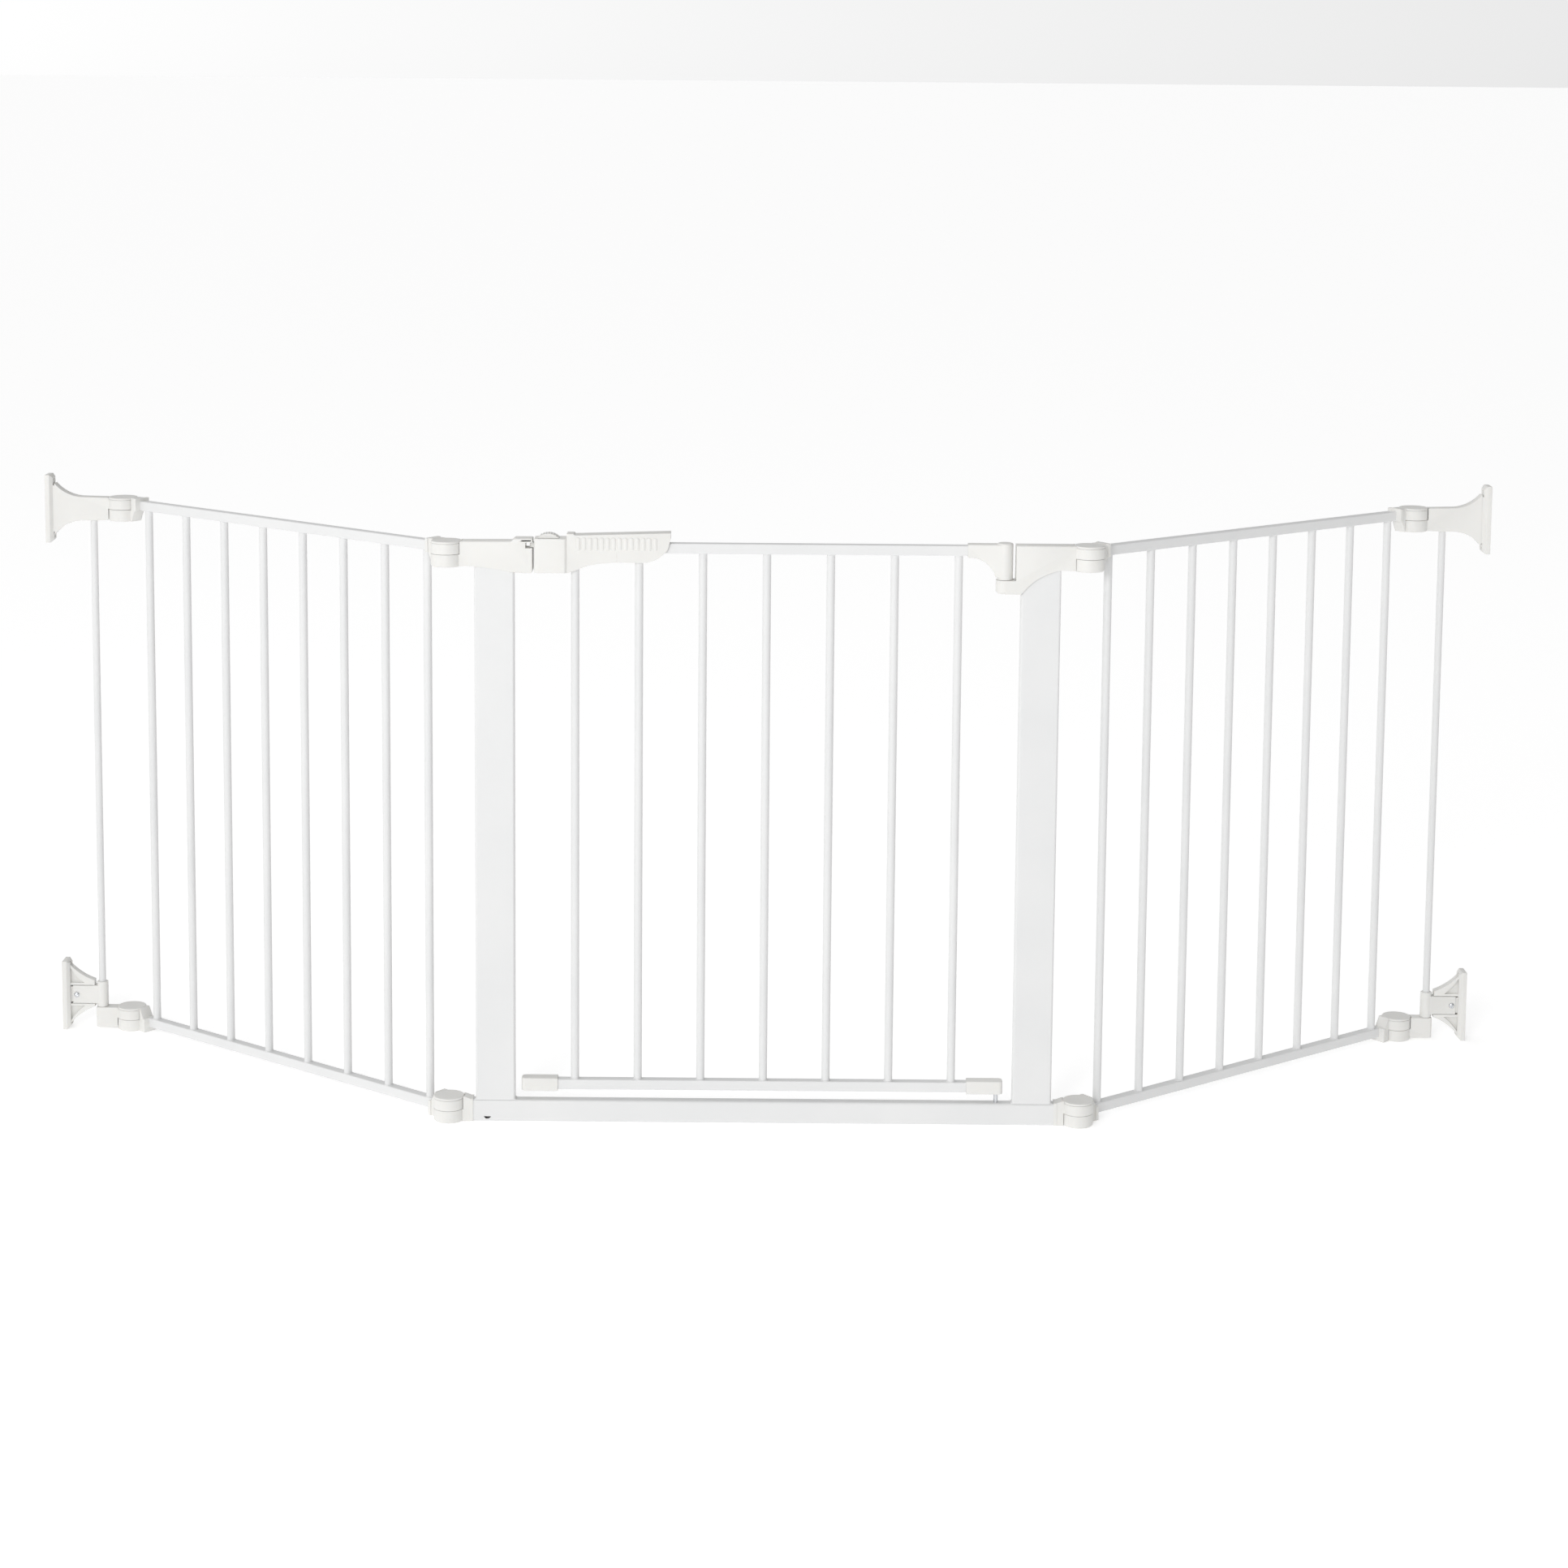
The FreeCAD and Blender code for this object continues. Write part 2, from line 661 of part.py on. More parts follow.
def side_panel(side, spot):
    """Two rails, eight bars, four hinge ends and their fasteners, drawn along +X."""
    for name, low in (("top", "top_rail_low"), ("bottom", "rail_lift")):
        rail = tube("x", ("rail_half", "rail_half"), "rail_start", "rail_length", "rail_wall", "rail_round")
        place(rail, ("rail_start", "bar_setback", f"{low} + rail_half"))
        node(f"{side}_panel_{name}_rail", group(rail), spot)
    bars = row_of_tubes(PANEL_BARS, "bar_end", "bar_pitch", "bar_setback",
                        ("bottom_rail_top", "top_rail_low"), "bar_radius", "bar_wall")
    node(f"{side}_panel_bars", group(bars), spot)
    for right in (False, True):
        for top in (True, False):
            name = f"{side}_panel_{'upper' if top else 'lower'}_{'right' if right else 'left'}_end"
            node(name, group(panel_end(right, top)), spot)
    bolts = [hinge_bolt("panel_reach", stack) for stack in STACKS]
    nuts = [hinge_nut("0", stack) for stack in STACKS]
    node(f"{side}_panel_hinge_fasteners", group(*bolts, *nuts), spot)
    node(f"{side}_panel_hinge_caps", group(*[hinge_cap("panel_reach", s) for s in STACKS]), spot)


def left_panel_spot(thing):
    place(thing, ("-outer_x", "outer_y", "0"))
    thing.setExpression("Placement.Rotation.Angle", link("-fold_angle"))


def right_panel_spot(thing):
    place(thing, ("hinge_half_span", "0", "0"))
    thing.setExpression("Placement.Rotation.Angle", link("fold_angle"))


# ---------------------------------------------------------------- centre section
def post(side):
    """An upright steel tube, drilled behind for its bracket's screws."""
    sign = "-1" if side == "left" else "1"
    upright = tube("z", ("post_width / 2", "tube_half"), "sill_height", "post_top - sill_height",
                   "tube_wall", "tube_round")
    place(upright, (f"({sign}) * (post_outer - post_width / 2)", "0", "sill_height"))
    holes = [spindle("set_screw_radius + run_clear", x, ("0", "tube_depth"), z)
             for x, z in bracket_screw_places(sign)]
    return cut(upright, *holes)


def bracket_screw_places(sign):
    middle = "post_outer - post_width / 2"
    return [(f"({sign}) * ({middle} {step} bracket_screw_half)", "post_top - bracket_screw_drop") for step in "-+"]


def sill_rail():
    """The bottom tube of the frame, bored for the door's pivot pin."""
    rail = tube("x", ("tube_half", "sill_height / 2"), "-sill_end", "2 * sill_end", "tube_wall", "tube_round")
    place(rail, ("-sill_end", "0", "sill_height / 2"))
    pivot = round_bar("pivot_radius + run_clear", ("door_axis", "0"), ("sill_height / 2", "sill_height + 1"))
    at = "-sill_end + drain_inset"
    drain = spindle("drain_radius", at, ("-tube_depth", "0"), "drain_low + drain_radius")
    above = block((f"{at} - drain_radius - 1", f"{at} + drain_radius + 1"), ("-tube_depth - 1", "1"),
                  ("drain_top", "drain_low + 2 * drain_radius + 1"))
    return cut(rail, pivot, cut(drain, above))


def sill_end_piece(right):
    """Closes an end of the sill and carries the lower hinge."""
    sign = "1" if right else "-1"
    axis_x = f"({sign}) * hinge_half_span"

    def inward(reach):
        return f"({sign}) * (hinge_half_span - ({reach}))"
    outline = [(inward("0"), "0"), (inward("flange_start"), "0"),
               (inward("flange_start"), "sill_height + sill_end_rise"),
               (inward("knuckle_radius + knuckle_clear"), "stack_height"), (inward("0"), "stack_height")]
    if right:
        outline.reverse()
    piece = with_knuckle(profile(outline, ("-neck_half", "neck_half")), axis_x, "lower_stack", right)
    edges = [inward("flange_start"), inward("rail_start"), inward("rail_start + sill_spigot")]
    flange_x = (edges[1], edges[0]) if right else (edges[0], edges[1])
    spigot_x = (edges[2], edges[1]) if right else (edges[1], edges[2])
    lip = "tube_half + sill_flange_lip"
    flange = block(flange_x, (f"-({lip})", lip), ("0", "sill_height + sill_end_rise"))
    inside = "tube_wall + spigot_clear"
    spigot = block(spigot_x, (f"-tube_half + {inside}", f"tube_half - ({inside})"),
                   (inside, f"sill_height - ({inside})"))
    return fuse(piece, rounded(flange, "sill_flange_round", along("x")), spigot)


def latch_housing():
    """The moulding on the left post: hinge knuckle, post socket and bolt slot."""
    low = "upper_stack"
    outline = [("-hinge_half_span", low), ("-post_outer - housing_heel", f"{low} + 1", "-housing_sweep"),
               ("-post_inner - 2", f"{low} - nose_dip + 1"),
               ("-nose_end - nose_heel", f"{low} - nose_dip", "nose_heel"),
               ("-nose_end", f"{low} - nose_dip + nose_heel"),
               ("-nose_end", "block_top - nose_corner", "nose_corner"),
               ("-nose_end - nose_corner", "block_top"), ("-post_inner + 1", "block_top"),
               ("-post_inner - nose_step", "gate_height + top_lip"), ("-hinge_half_span", "gate_height")]
    shell = profile(outline, ("-bracket_half", "bracket_half"))
    shell = rounded(shell, "top_round", along("x", lambda p: p.z > number("post_top")))
    shell = with_knuckle(shell, "-hinge_half_span", low, False)
    room = "spigot_clear"
    socket = block((f"-post_outer - {room}", f"-post_inner + {room}"),
                   (f"-tube_half - {room}", f"tube_half + {room}"), ("upper_stack - 20", "post_top + run_clear"))
    slot = block(("-nose_end - bolt_reach - bolt_room", "-nose_end + 1"),
                 ("-bracket_half - 1", "bracket_half + 1"),
                 ("bolt_low - slide_clear * 2", "bolt_top + slide_clear * 2"))
    screws = [spindle("set_screw_radius + run_clear", x, ("0", "bracket_half + 1"), z)
              for x, z in bracket_screw_places("-1")]
    return cut(shell, socket, slot, *screws)


def hinge_bracket():
    """The moulding on the right post: shelf and pin seat for the door, and knuckle."""
    low = "upper_stack"
    shelf_low = "shelf_top - shelf_thick"
    edge = "door_axis + barrel_radius + shelf_gap"
    outline = [("hinge_half_span", "gate_height"), (edge, "gate_height"), (edge, "shelf_top"),
               ("door_axis", "shelf_top"), ("door_axis", shelf_low), ("post_inner", shelf_low, "-bracket_sweep"),
               ("post_outer", f"{low} + 1.5"), ("hinge_half_span", low)]
    shell = profile(outline, ("-bracket_half", "bracket_half"))
    shell = rounded(shell, "top_round", along("x", lambda p: p.z > number("post_top")))
    shelf = round_bar("bracket_half", ("door_axis", "0"), (shelf_low, "shelf_top"))
    shelf = bevelled(shelf, "shelf_bevel", rims(shelf_low))
    shell = with_knuckle(fuse(shell, shelf), "hinge_half_span", low, True)
    room = "spigot_clear"
    socket = block((f"post_inner - {room}", f"post_outer + {room}"),
                   (f"-tube_half - {room}", f"tube_half + {room}"), (f"{shelf_low} - 2", "post_top + run_clear"))
    seat = round_bar("pin_radius + run_clear", ("door_axis", "0"), (f"{shelf_low} + pin_seat", "shelf_top + 1"))
    screws = [spindle("set_screw_radius + run_clear", x, ("0", "bracket_half + 1"), z)
              for x, z in bracket_screw_places("1")]
    return cut(shell, socket, seat, *screws)


def bracket_screw(place_x, place_z):
    shank = spindle("set_screw_radius", place_x, ("tube_half - screw_bite", "bracket_half"), place_z)
    head = spindle("set_screw_head", place_x, ("bracket_half", "bracket_half + screw_head_tall"), place_z)
    return fuse(shank, head)


def centre_section():
    node("left_post", post("left"))
    node("right_post", post("right"))
    node("sill_rail", sill_rail())
    node("left_sill_end", sill_end_piece(False))
    node("right_sill_end", sill_end_piece(True))
    node("latch_housing", latch_housing())
    node("hinge_bracket", hinge_bracket())
    bolts = [hinge_bolt("hinge_half_span", stack) for stack in STACKS]
    nuts = [hinge_nut("-hinge_half_span", stack) for stack in STACKS]
    node("frame_hinge_fasteners", group(*bolts, *nuts))
    node("frame_hinge_caps", group(*[hinge_cap("hinge_half_span", s) for s in STACKS]))
    screws = [bracket_screw(x, z) for sign in ("-1", "1") for x, z in bracket_screw_places(sign)]
    node("bracket_screws", group(*screws))
    pin_top = "barrel_top - barrel_lid - seam_gap"
    pin = round_bar("pin_radius", ("door_axis", "0"), ("shelf_top - shelf_thick + pin_seat", pin_top))
    node("door_hinge_pin", rounded(pin, "pin_round", rims(pin_top)))


# ---------------------------------------------------------------- door
def door_rail(start, end, low):
    rail = tube("x", ("rail_half", "rail_half"), start, span(start, end), "rail_wall", "rail_round")
    return place(rail, (start, "0", f"{low} + rail_half"))


def corner_cap(free):
    """A moulded cap over the end of the door's bottom rail."""
    low, high = "door_rail_lift - cap_side", "door_low_top + cap_side"
    if free:
        x = ("-post_inner + cap_gap", "-post_inner + cap_gap + cap_length")
        hollow = (f"{x[0]} + cap_end_wall", f"{x[1]} + 1")
        rounds = along("z", lambda p: p.x < number(x[0]) + 1)
    else:
        x = ("door_axis + cap_past_axis - cap_length", "door_axis + cap_past_axis")
        hollow = (f"{x[0]} - 1", f"{x[1]} - cap_end_wall")
        rounds = along("z", lambda p: p.x > number(x[1]) - 1)
    half = "rail_half + cap_side"
    cap = rounded(block(x, (f"-({half})", half), (low, high)), "cap_corner", rounds)
    middle = number(f"({x[0]} + {x[1]}) / 2")
    cap = rounded(cap, "moulding_round", along("x", lambda p: abs(p.x - middle) < number("cap_length")))
    room = "rail_half + spigot_clear"
    rail = block(hollow, (f"-({room})", room), ("door_rail_lift - spigot_clear", "door_low_top + spigot_clear"))
    cap = cut(cap, rail)
    if free:
        return cap
    return cut(cap, round_bar("pivot_radius + run_clear", ("door_axis", "0"), (f"{low} - 1", "door_low_top")))


def hinge_arm():
    """The moulding at the door's hinge: rail socket, curved arm and barrel."""
    top = "gate_height + top_lip"
    start = "door_axis - arm_length"
    arc_low = "shelf_top + arm_lift"
    outline = [("door_axis", arc_low), ("door_axis", top), (start, top),
               (start, "door_top_low - arm_lip"), (f"{start} + 3", "door_top_low - arm_lip", "-arm_sweep"),
               ("door_axis - barrel_radius - 2", arc_low)]
    arm = profile(outline, ("-arm_half", "arm_half"))
    arm = rounded(arm, "arm_round", along("x", lambda p: p.z > number("gate_height")))
    barrel = round_bar("barrel_radius", ("door_axis", "0"), ("barrel_low", "barrel_top"))
    barrel = rounded(barrel, "top_round", rims("barrel_top"))
    bearing_low = "barrel_top - barrel_lid - bearing_length"
    room = "rail_half + spigot_clear"
    socket = block((f"{start} - 1", "door_axis - barrel_radius - arm_socket_end"), (f"-({room})", room),
                   ("door_top_low - spigot_clear", "door_top_low + rail_size + spigot_clear"))
    bore = round_bar("pin_radius + run_clear", ("door_axis", "0"), ("barrel_low - 1", "barrel_top - barrel_lid"))
    spring_room = round_bar("spring_bore", ("door_axis", "0"), ("barrel_low - 1", bearing_low))
    return cut(fuse(arm, barrel), socket, bore, spring_room)


def handle_outline():
    """The grip seen from the front, from the block to its upswept tip."""
    block_end = "-free_end + block_length"
    low = "block_low"
    inside, inside_top = f"{block_end} - 2", "block_top - 2"
    crest = "gate_height + grip_rise + ridge_rise"
    return [(inside, low), (f"{block_end} + 2", low), (f"{block_end} + 10", f"{low} + 3"),
            (f"{block_end} + 26", f"{low} + 9", "-grip_sweep"), (f"{block_end} + grip_waist", f"{low} + grip_dip"),
            (f"{block_end} + grip_turn", f"{low} + grip_dip", "grip_hook"),
            (f"{block_end} + grip_flick", f"{low} + 30"),
            ("grip_end", f"{low} + 42"), ("grip_end", "gate_height + grip_tip_rise"),
            (f"{block_end} + ridge_width + 1.5", "gate_height + grip_rise + 0.3"),
            (f"{block_end} + ridge_width", crest), (block_end, crest),
            (block_end, inside_top), (inside, inside_top)]


def handle_shell(front):
    """Half of the handle: the latch block and the grip, round the door's top rail."""
    y = {"block": ("-block_half", "0"), "grip": ("-grip_half", "0")}
    if not front:
        y = {"block": ("0", "block_half"), "grip": ("0", "grip_half")}
    block_x = ("-free_end", "-free_end + block_length")
    case = block(block_x, y["block"], ("block_low", "block_top"))
    outer = number("block_half") - 1
    case = rounded(case, "block_round", along("z", lambda p: abs(p.y) > outer))
    grip = profile(handle_outline(), y["grip"])
    shell = fuse(case, grip)
    end = "-free_end + block_length"
    cavity = block((f"-free_end + shell_wall", f"{end} - 1"),
                   ("-block_half + shell_wall", "block_half - shell_wall"),
                   ("bolt_top - carriage_tall - 4", "bolt_top + 2"))
    gap = "slide_clear"
    bolt_hole = block(("-free_end - 1", "-free_end + shell_wall + 1"),
                      (f"-bolt_half - {gap}", f"bolt_half + {gap}"), (f"bolt_low - {gap}", f"bolt_top + {gap}"))
    stem_x = "-free_end + button_setback + (button_length - stem_length) / 2"
    stem_slot = block((f"{stem_x} - {gap}", f"{stem_x} + stem_length + bolt_travel + {gap}"),
                      (f"-stem_half - {gap}", f"stem_half + {gap}"), ("bolt_top", "block_top + 1"))
    room = "spigot_clear"
    rail = block((f"-rail_in_handle - {room}", "grip_end + 1"), (f"-rail_half - {room}", f"rail_half + {room}"),
                 (f"door_top_low - {room}", f"door_top_low + rail_size + {room}"))
    bars = [round_bar(f"bar_radius + {room}", (f"first_bar + {n} * door_bar_pitch", "0"),
                      ("block_low - 20", "door_top_low")) for n in range(4)]
    screws = [spindle("set_screw_radius + run_clear", x, ("-6", "block_half + 1"), z)
              for x, z in handle_screw_places()]
    heads = [spindle("set_screw_head + run_clear", x, ("grip_half - screw_sink", "block_half + 1"), z)
             for x, z in handle_screw_places()]
    return cut(shell, cavity, bolt_hole, stem_slot, rail, *bars, *screws, *heads)


def handle_screw_places():
    """Between the bars, where the grip is deep enough for them."""
    return [("first_bar + handle_screw_step", "block_low + 15"),
            ("first_bar + door_bar_pitch / 2", "block_low + 18"),
            ("first_bar + door_bar_pitch + handle_screw_step", "block_low + 21")]


def handle_screw(x, z):
    seat = "grip_half - screw_sink"
    shank = spindle("set_screw_radius", x, ("-screw_bite", seat), z)
    return fuse(shank, spindle("set_screw_head", x, (seat, "grip_half - slide_clear"), z))


def door_section():
    node("door_top_rail", door_rail("-rail_in_handle", "door_axis - barrel_radius - arm_socket_end - seam_gap",
                                    "door_top_low"))
    low_rail = door_rail("-post_inner + cap_gap + cap_end_wall + seam_gap",
                         "door_axis + cap_past_axis - cap_end_wall - seam_gap", "door_rail_lift")
    pivot_hole = round_bar("pivot_radius + run_clear", ("door_axis", "0"),
                           ("door_rail_lift - 1", "door_low_top - 2"))
    node("door_bottom_rail", cut(low_rail, pivot_hole))
    bars = row_of_tubes(DOOR_BARS, "first_bar", "door_bar_pitch", "0",
                        ("door_low_top", "door_top_low"), "bar_radius", "bar_wall")
    node("door_bars", bars)
    node("door_free_cap", corner_cap(True))
    node("door_pivot_cap", corner_cap(False))
    pivot = round_bar("pivot_radius", ("door_axis", "0"), ("sill_height - 6", "door_low_top - rail_wall"))
    node("door_pivot_pin", rounded(pivot, "pin_round", rims("sill_height - 6")))
    node("door_hinge_arm", hinge_arm())
    node("handle_front", handle_shell(True))
    node("handle_back", handle_shell(False))
    node("handle_screws", group(*[handle_screw(x, z) for x, z in handle_screw_places()]))
    node("closer_spring", coil("(spring_bore + pin_radius) / 2", "closer_wire", "closer_pitch", "closer_length",
                               ("door_axis", "0", "barrel_low + 1.5")))
    spring_x = "-free_end + shell_wall + carriage_length + 0.5"
    node("latch_spring", coil("latch_coil", "latch_wire", "latch_pitch",
                              "block_length - shell_wall - carriage_length - 3",
                              (f"{spring_x} + 0.6", "0", "bolt_top - carriage_tall / 2"),
                              Rotation(Vector(0, 1, 0), 90)))


def latch_section():
    """The thumb button and the bolt that it draws back."""
    start = "-free_end + button_setback"
    middle = f"{start} + button_length / 2"
    dome_radius = "(button_length * button_length / 4 + button_rise * button_rise) / (2 * button_rise)"
    base = "block_top + slide_clear"
    dome = spindle(dome_radius, middle, ("-button_half", "button_half"), f"{base} + button_rise - {dome_radius}")
    dome = common(dome, block((start, f"{start} + button_length"), ("-button_half", "button_half"),
                              (base, f"{base} + button_rise + 1")))
    stem_x = f"{start} + (button_length - stem_length) / 2"
    stem = block((stem_x, f"{stem_x} + stem_length"), ("-stem_half", "stem_half"), ("bolt_top", base))
    node("release_button", fuse(dome, stem))
    carriage_x = "-free_end + shell_wall + 0.5"
    carriage = block((carriage_x, f"{carriage_x} + carriage_length"), ("-carriage_half", "carriage_half"),
                     ("bolt_top - carriage_tall", "bolt_top"))
    nose = block(("-free_end - bolt_reach", carriage_x), ("-bolt_half", "bolt_half"), ("bolt_low", "bolt_top"))
    tip = number("-free_end - bolt_reach")
    nose = bevelled(nose, "bolt_bevel", along("z", lambda p: abs(p.x - tip) < 0.01))
    node("latch_bolt", fuse(carriage, nose))


# ---------------------------------------------------------------- wall mounts
def trumpet(sign, upper):
    """The flared upper arm, from its hinge knuckle to the wall plate."""
    def out(reach):
        return f"({sign}) * ({reach})"
    mid = "upper_mid"
    turn = "-" if sign == "1" else ""
    outline = [(out("0"), f"{mid} - trumpet_neck + 1"),
               (out("trumpet_start"), f"{mid} - trumpet_neck", f"{turn}trumpet_flare"),
               (out("trumpet_end"), f"{mid} - trumpet_mouth"),
               (out("trumpet_end"), f"{mid} + trumpet_mouth", f"{turn}trumpet_flare"),
               (out("trumpet_start"), f"{mid} + trumpet_neck"), (out("0"), f"{mid} + trumpet_neck - 1")]
    body = profile(outline, ("-trumpet_half", "trumpet_half"))
    body = with_knuckle(body, "0", "upper_stack", upper)
    rod = round_bar("rod_radius + run_clear", (out("rod_reach"), "0"),
                    (f"{mid} - trumpet_neck - 2", f"{mid} - rod_socket"))
    ends = sorted((out("trumpet_end - trumpet_hollow"), out("trumpet_end + 1")), key=number)
    hollow = block(tuple(ends), ("-trumpet_half + trumpet_wall", "trumpet_half - trumpet_wall"),
                   (f"{mid} - trumpet_neck + trumpet_skin", f"{mid} + trumpet_neck - trumpet_skin"))
    return cut(body, rod, hollow)


def wall_plate(sign):
    """The plate of the upper mount: bevelled edges, a boss and two screw holes."""
    def reach(low, high):
        return (low, high) if sign == "1" else (f"-({high})", f"-({low})")
    half_tall = "upper_plate_tall / 2"
    plate = block(reach("upper_plate_face", "upper_wall_reach"), ("-plate_half", "plate_half"),
                  (f"upper_mid - {half_tall}", f"upper_mid + {half_tall}"))
    face = number("upper_plate_face") * (1 if sign == "1" else -1)
    plate = bevelled(plate, "plate_bevel", lambda e: abs(e.CenterOfMass.x - face) < 0.01)
    boss = block(reach("trumpet_end", "upper_plate_face"), ("-trumpet_half", "trumpet_half"),
                 ("upper_mid - trumpet_mouth + boss_inset", "upper_mid + trumpet_mouth - boss_inset"))
    holes = [spindle("wall_screw_radius", reach("trumpet_end - 1", "upper_wall_reach + 1"), "0",
                     f"upper_mid {side} upper_screw_spacing / 2") for side in "+-"]
    return cut(fuse(plate, boss), *holes)


def foot_arm(sign, upper):
    """The lower arm: hinge knuckle and the block that the rod stands in."""
    x = ("0", "foot_length") if sign == "1" else ("-foot_length", "0")
    arm = block(x, ("-neck_half", "neck_half"), ("foot_inset", "foot_top"))
    end = number("foot_length") * (1 if sign == "1" else -1)
    arm = rounded(arm, "foot_round", along("z", lambda p: abs(p.x - end) < 0.01))
    arm = rounded(arm, "moulding_round", along("x"))
    arm = with_knuckle(arm, "0", "lower_stack", upper)
    return cut(arm, round_bar("rod_radius + run_clear", (f"({sign}) * rod_reach", "0"),
                              ("foot_inset + rod_seat", "foot_top + 1")))


def sleeve(sign):
    """The collar on the rod and the hollow tongue that slides over the bracket's stub."""
    def reach(low, high):
        return (low, high) if sign == "1" else (f"-({high})", f"-({low})")
    centre = (f"({sign}) * rod_reach", "0")
    collar = round_bar("sleeve_radius", centre, ("sleeve_low", "sleeve_top"))
    collar = rounded(collar, "moulding_round", rims("sleeve_top"))
    tongue = block(reach("rod_reach", "tongue_end"), ("-tongue_half", "tongue_half"), ("tongue_low", "tongue_top"))
    tongue = rounded(tongue, "tongue_round", along("x"))
    wall = "tongue_wall"
    hollow = block(reach("rod_reach + sleeve_radius + 1", "tongue_end + 1"),
                   (f"-tongue_half + {wall}", f"tongue_half - {wall}"),
                   (f"tongue_low + {wall}", f"tongue_top - {wall}"))
    bore = round_bar("rod_radius + run_clear", centre, ("sleeve_low - 1", "sleeve_top + 1"))
    screw = spindle("set_screw_radius + run_clear", f"({sign}) * set_screw_x",
                    ("-tongue_half - 1", "0"), "tongue_mid")
    return cut(fuse(collar, tongue), hollow, bore, screw)


def set_screw(sign):
    """The domed screw that clamps the tongue to the stub."""
    x = f"({sign}) * set_screw_x"
    shank = spindle("set_screw_radius", x, ("-tongue_half", "stub_half - 1"), "tongue_mid")
    head = spindle("set_screw_head", x, ("-tongue_half - set_screw_dome", "-tongue_half"), "tongue_mid")
    face = number("-tongue_half - set_screw_dome")
    head = rounded(head, "set_screw_dome * 0.75", lambda e: abs(e.CenterOfMass.y - face) < 0.01)
    return fuse(shank, head)


def gusset(sign, above):
    """A curved rib between the bracket's plate and its stub, pocketed on both sides."""
    def out(reach):
        return f"({sign}) * ({reach})"
    turn = "-" if above == (sign == "1") else ""
    sweep = f"{turn}gusset_sweep"
    if above:
        near, tip = "tongue_top + gusset_clear", "tongue_top + upper_gusset_tip"
        root = "lower_plate_top - upper_gusset_root"
    else:
        near, tip = "tongue_low - gusset_clear", "tongue_low - lower_gusset_tip"
        root = "lower_plate_low + lower_gusset_root"
    outline = [(out("lower_plate_face + 1"), near), (out("lower_plate_face + 1"), root, sweep),
               (out("gusset_end"), tip), (out("gusset_end"), near)]
    rim = profile(outline, ("-gusset_half", "gusset_half"))
    step = "gusset_rim" if above else "-gusset_rim"
    inner = [(out("lower_plate_face"), f"{near} + {step}"),
             (out("lower_plate_face"), f"{root} - ({step}) * 1.7", sweep),
             (out("gusset_end + 14"), f"{near} + {step}")]
    pockets = [profile(inner, ("gusset_web", "gusset_half + 1")),
               profile(inner, ("-gusset_half - 1", "-gusset_web"))]
    return cut(rim, *pockets)


def wall_bracket(sign):
    """The lower mount on the wall: plate, stub and two gussets, with driver channels."""
    def reach(low, high):
        return (low, high) if sign == "1" else (f"-({high})", f"-({low})")
    plate = block(reach("lower_plate_face", "lower_wall_reach"), ("-plate_half", "plate_half"),
                  ("lower_plate_low", "lower_plate_top"))
    face = number("lower_plate_face") * (1 if sign == "1" else -1)
    plate = bevelled(plate, "plate_bevel", lambda e: abs(e.CenterOfMass.x - face) < 0.01)
    stub = block(reach("rod_reach + sleeve_radius + stub_inset", "lower_plate_face + 1"),
                 ("-stub_half", "stub_half"), ("stub_low", "stub_top"))
    slot = block(reach("set_screw_x - set_screw_radius - stub_clear - bracket_travel - 1",
                       "set_screw_x + set_screw_radius + stub_clear"),
                 ("-stub_half - 1", "stub_half + 1"),
                 ("tongue_mid - set_screw_radius - stub_clear", "tongue_mid + set_screw_radius + stub_clear"))
    holes, channels = [], []
    for side in "+-":
        z = f"tongue_mid {side} lower_screw_spacing / 2"
        holes.append(spindle("wall_screw_radius", reach("lower_plate_face - 1", "lower_wall_reach + 1"), "0", z))
        deep = reach("gusset_end - 1", "lower_plate_face + driver_depth")
        channels.append(spindle("driver_radius", deep, "0", z))
    body = fuse(plate, cut(stub, slot), gusset(sign, True), gusset(sign, False))
    return cut(body, *holes, *channels)


def wall_mount(side, sign, upper, spot):
    """One wall mount, drawn about its own hinge axis."""
    node(f"{side}_wall_trumpet", group(trumpet(sign, upper)), spot)
    node(f"{side}_wall_plate", group(wall_plate(sign)), spot)
    rod = round_bar("rod_radius", (f"({sign}) * rod_reach", "0"),
                    ("foot_inset + rod_seat", "upper_mid - rod_socket"))
    node(f"{side}_wall_rod", group(rod), spot)
    node(f"{side}_foot_arm", group(foot_arm(sign, upper)), spot)
    if upper:
        node(f"{side}_mount_bolts", group(*[hinge_bolt("0", s) for s in STACKS]), spot)
        node(f"{side}_mount_caps", group(*[hinge_cap("0", s) for s in STACKS]), spot)
    else:
        node(f"{side}_mount_nuts", group(*[hinge_nut("0", s) for s in STACKS]), spot)
    node(f"{side}_rod_sleeve", group(sleeve(sign)), spot)
    node(f"{side}_set_screw", group(set_screw(sign)), spot)
    node(f"{side}_wall_bracket", group(wall_bracket(sign)), spot)


def left_mount_spot(thing):
    place(thing, ("-outer_x", "outer_y", "0"))


def right_mount_spot(thing):
    place(thing, ("outer_x", "outer_y", "0"))


# ---------------------------------------------------------------- the gate
centre_section()
door_section()
latch_section()
side_panel("left", left_panel_spot)
side_panel("right", right_panel_spot)
wall_mount("left", "-1", True, left_mount_spot)
wall_mount("right", "1", False, right_mount_spot)
doc.recompute()

broken = [thing.Name for thing in doc.Objects if {"Invalid", "Error"} & set(thing.State)]
if broken:
    raise RuntimeError(f"these objects failed: {broken}")
for name, thing in sub_parts.items():
    shape = thing.Shape
    if shape.isNull() or not shape.isValid() or not shape.Solids:
        raise RuntimeError(f"{name} has no sound solid")

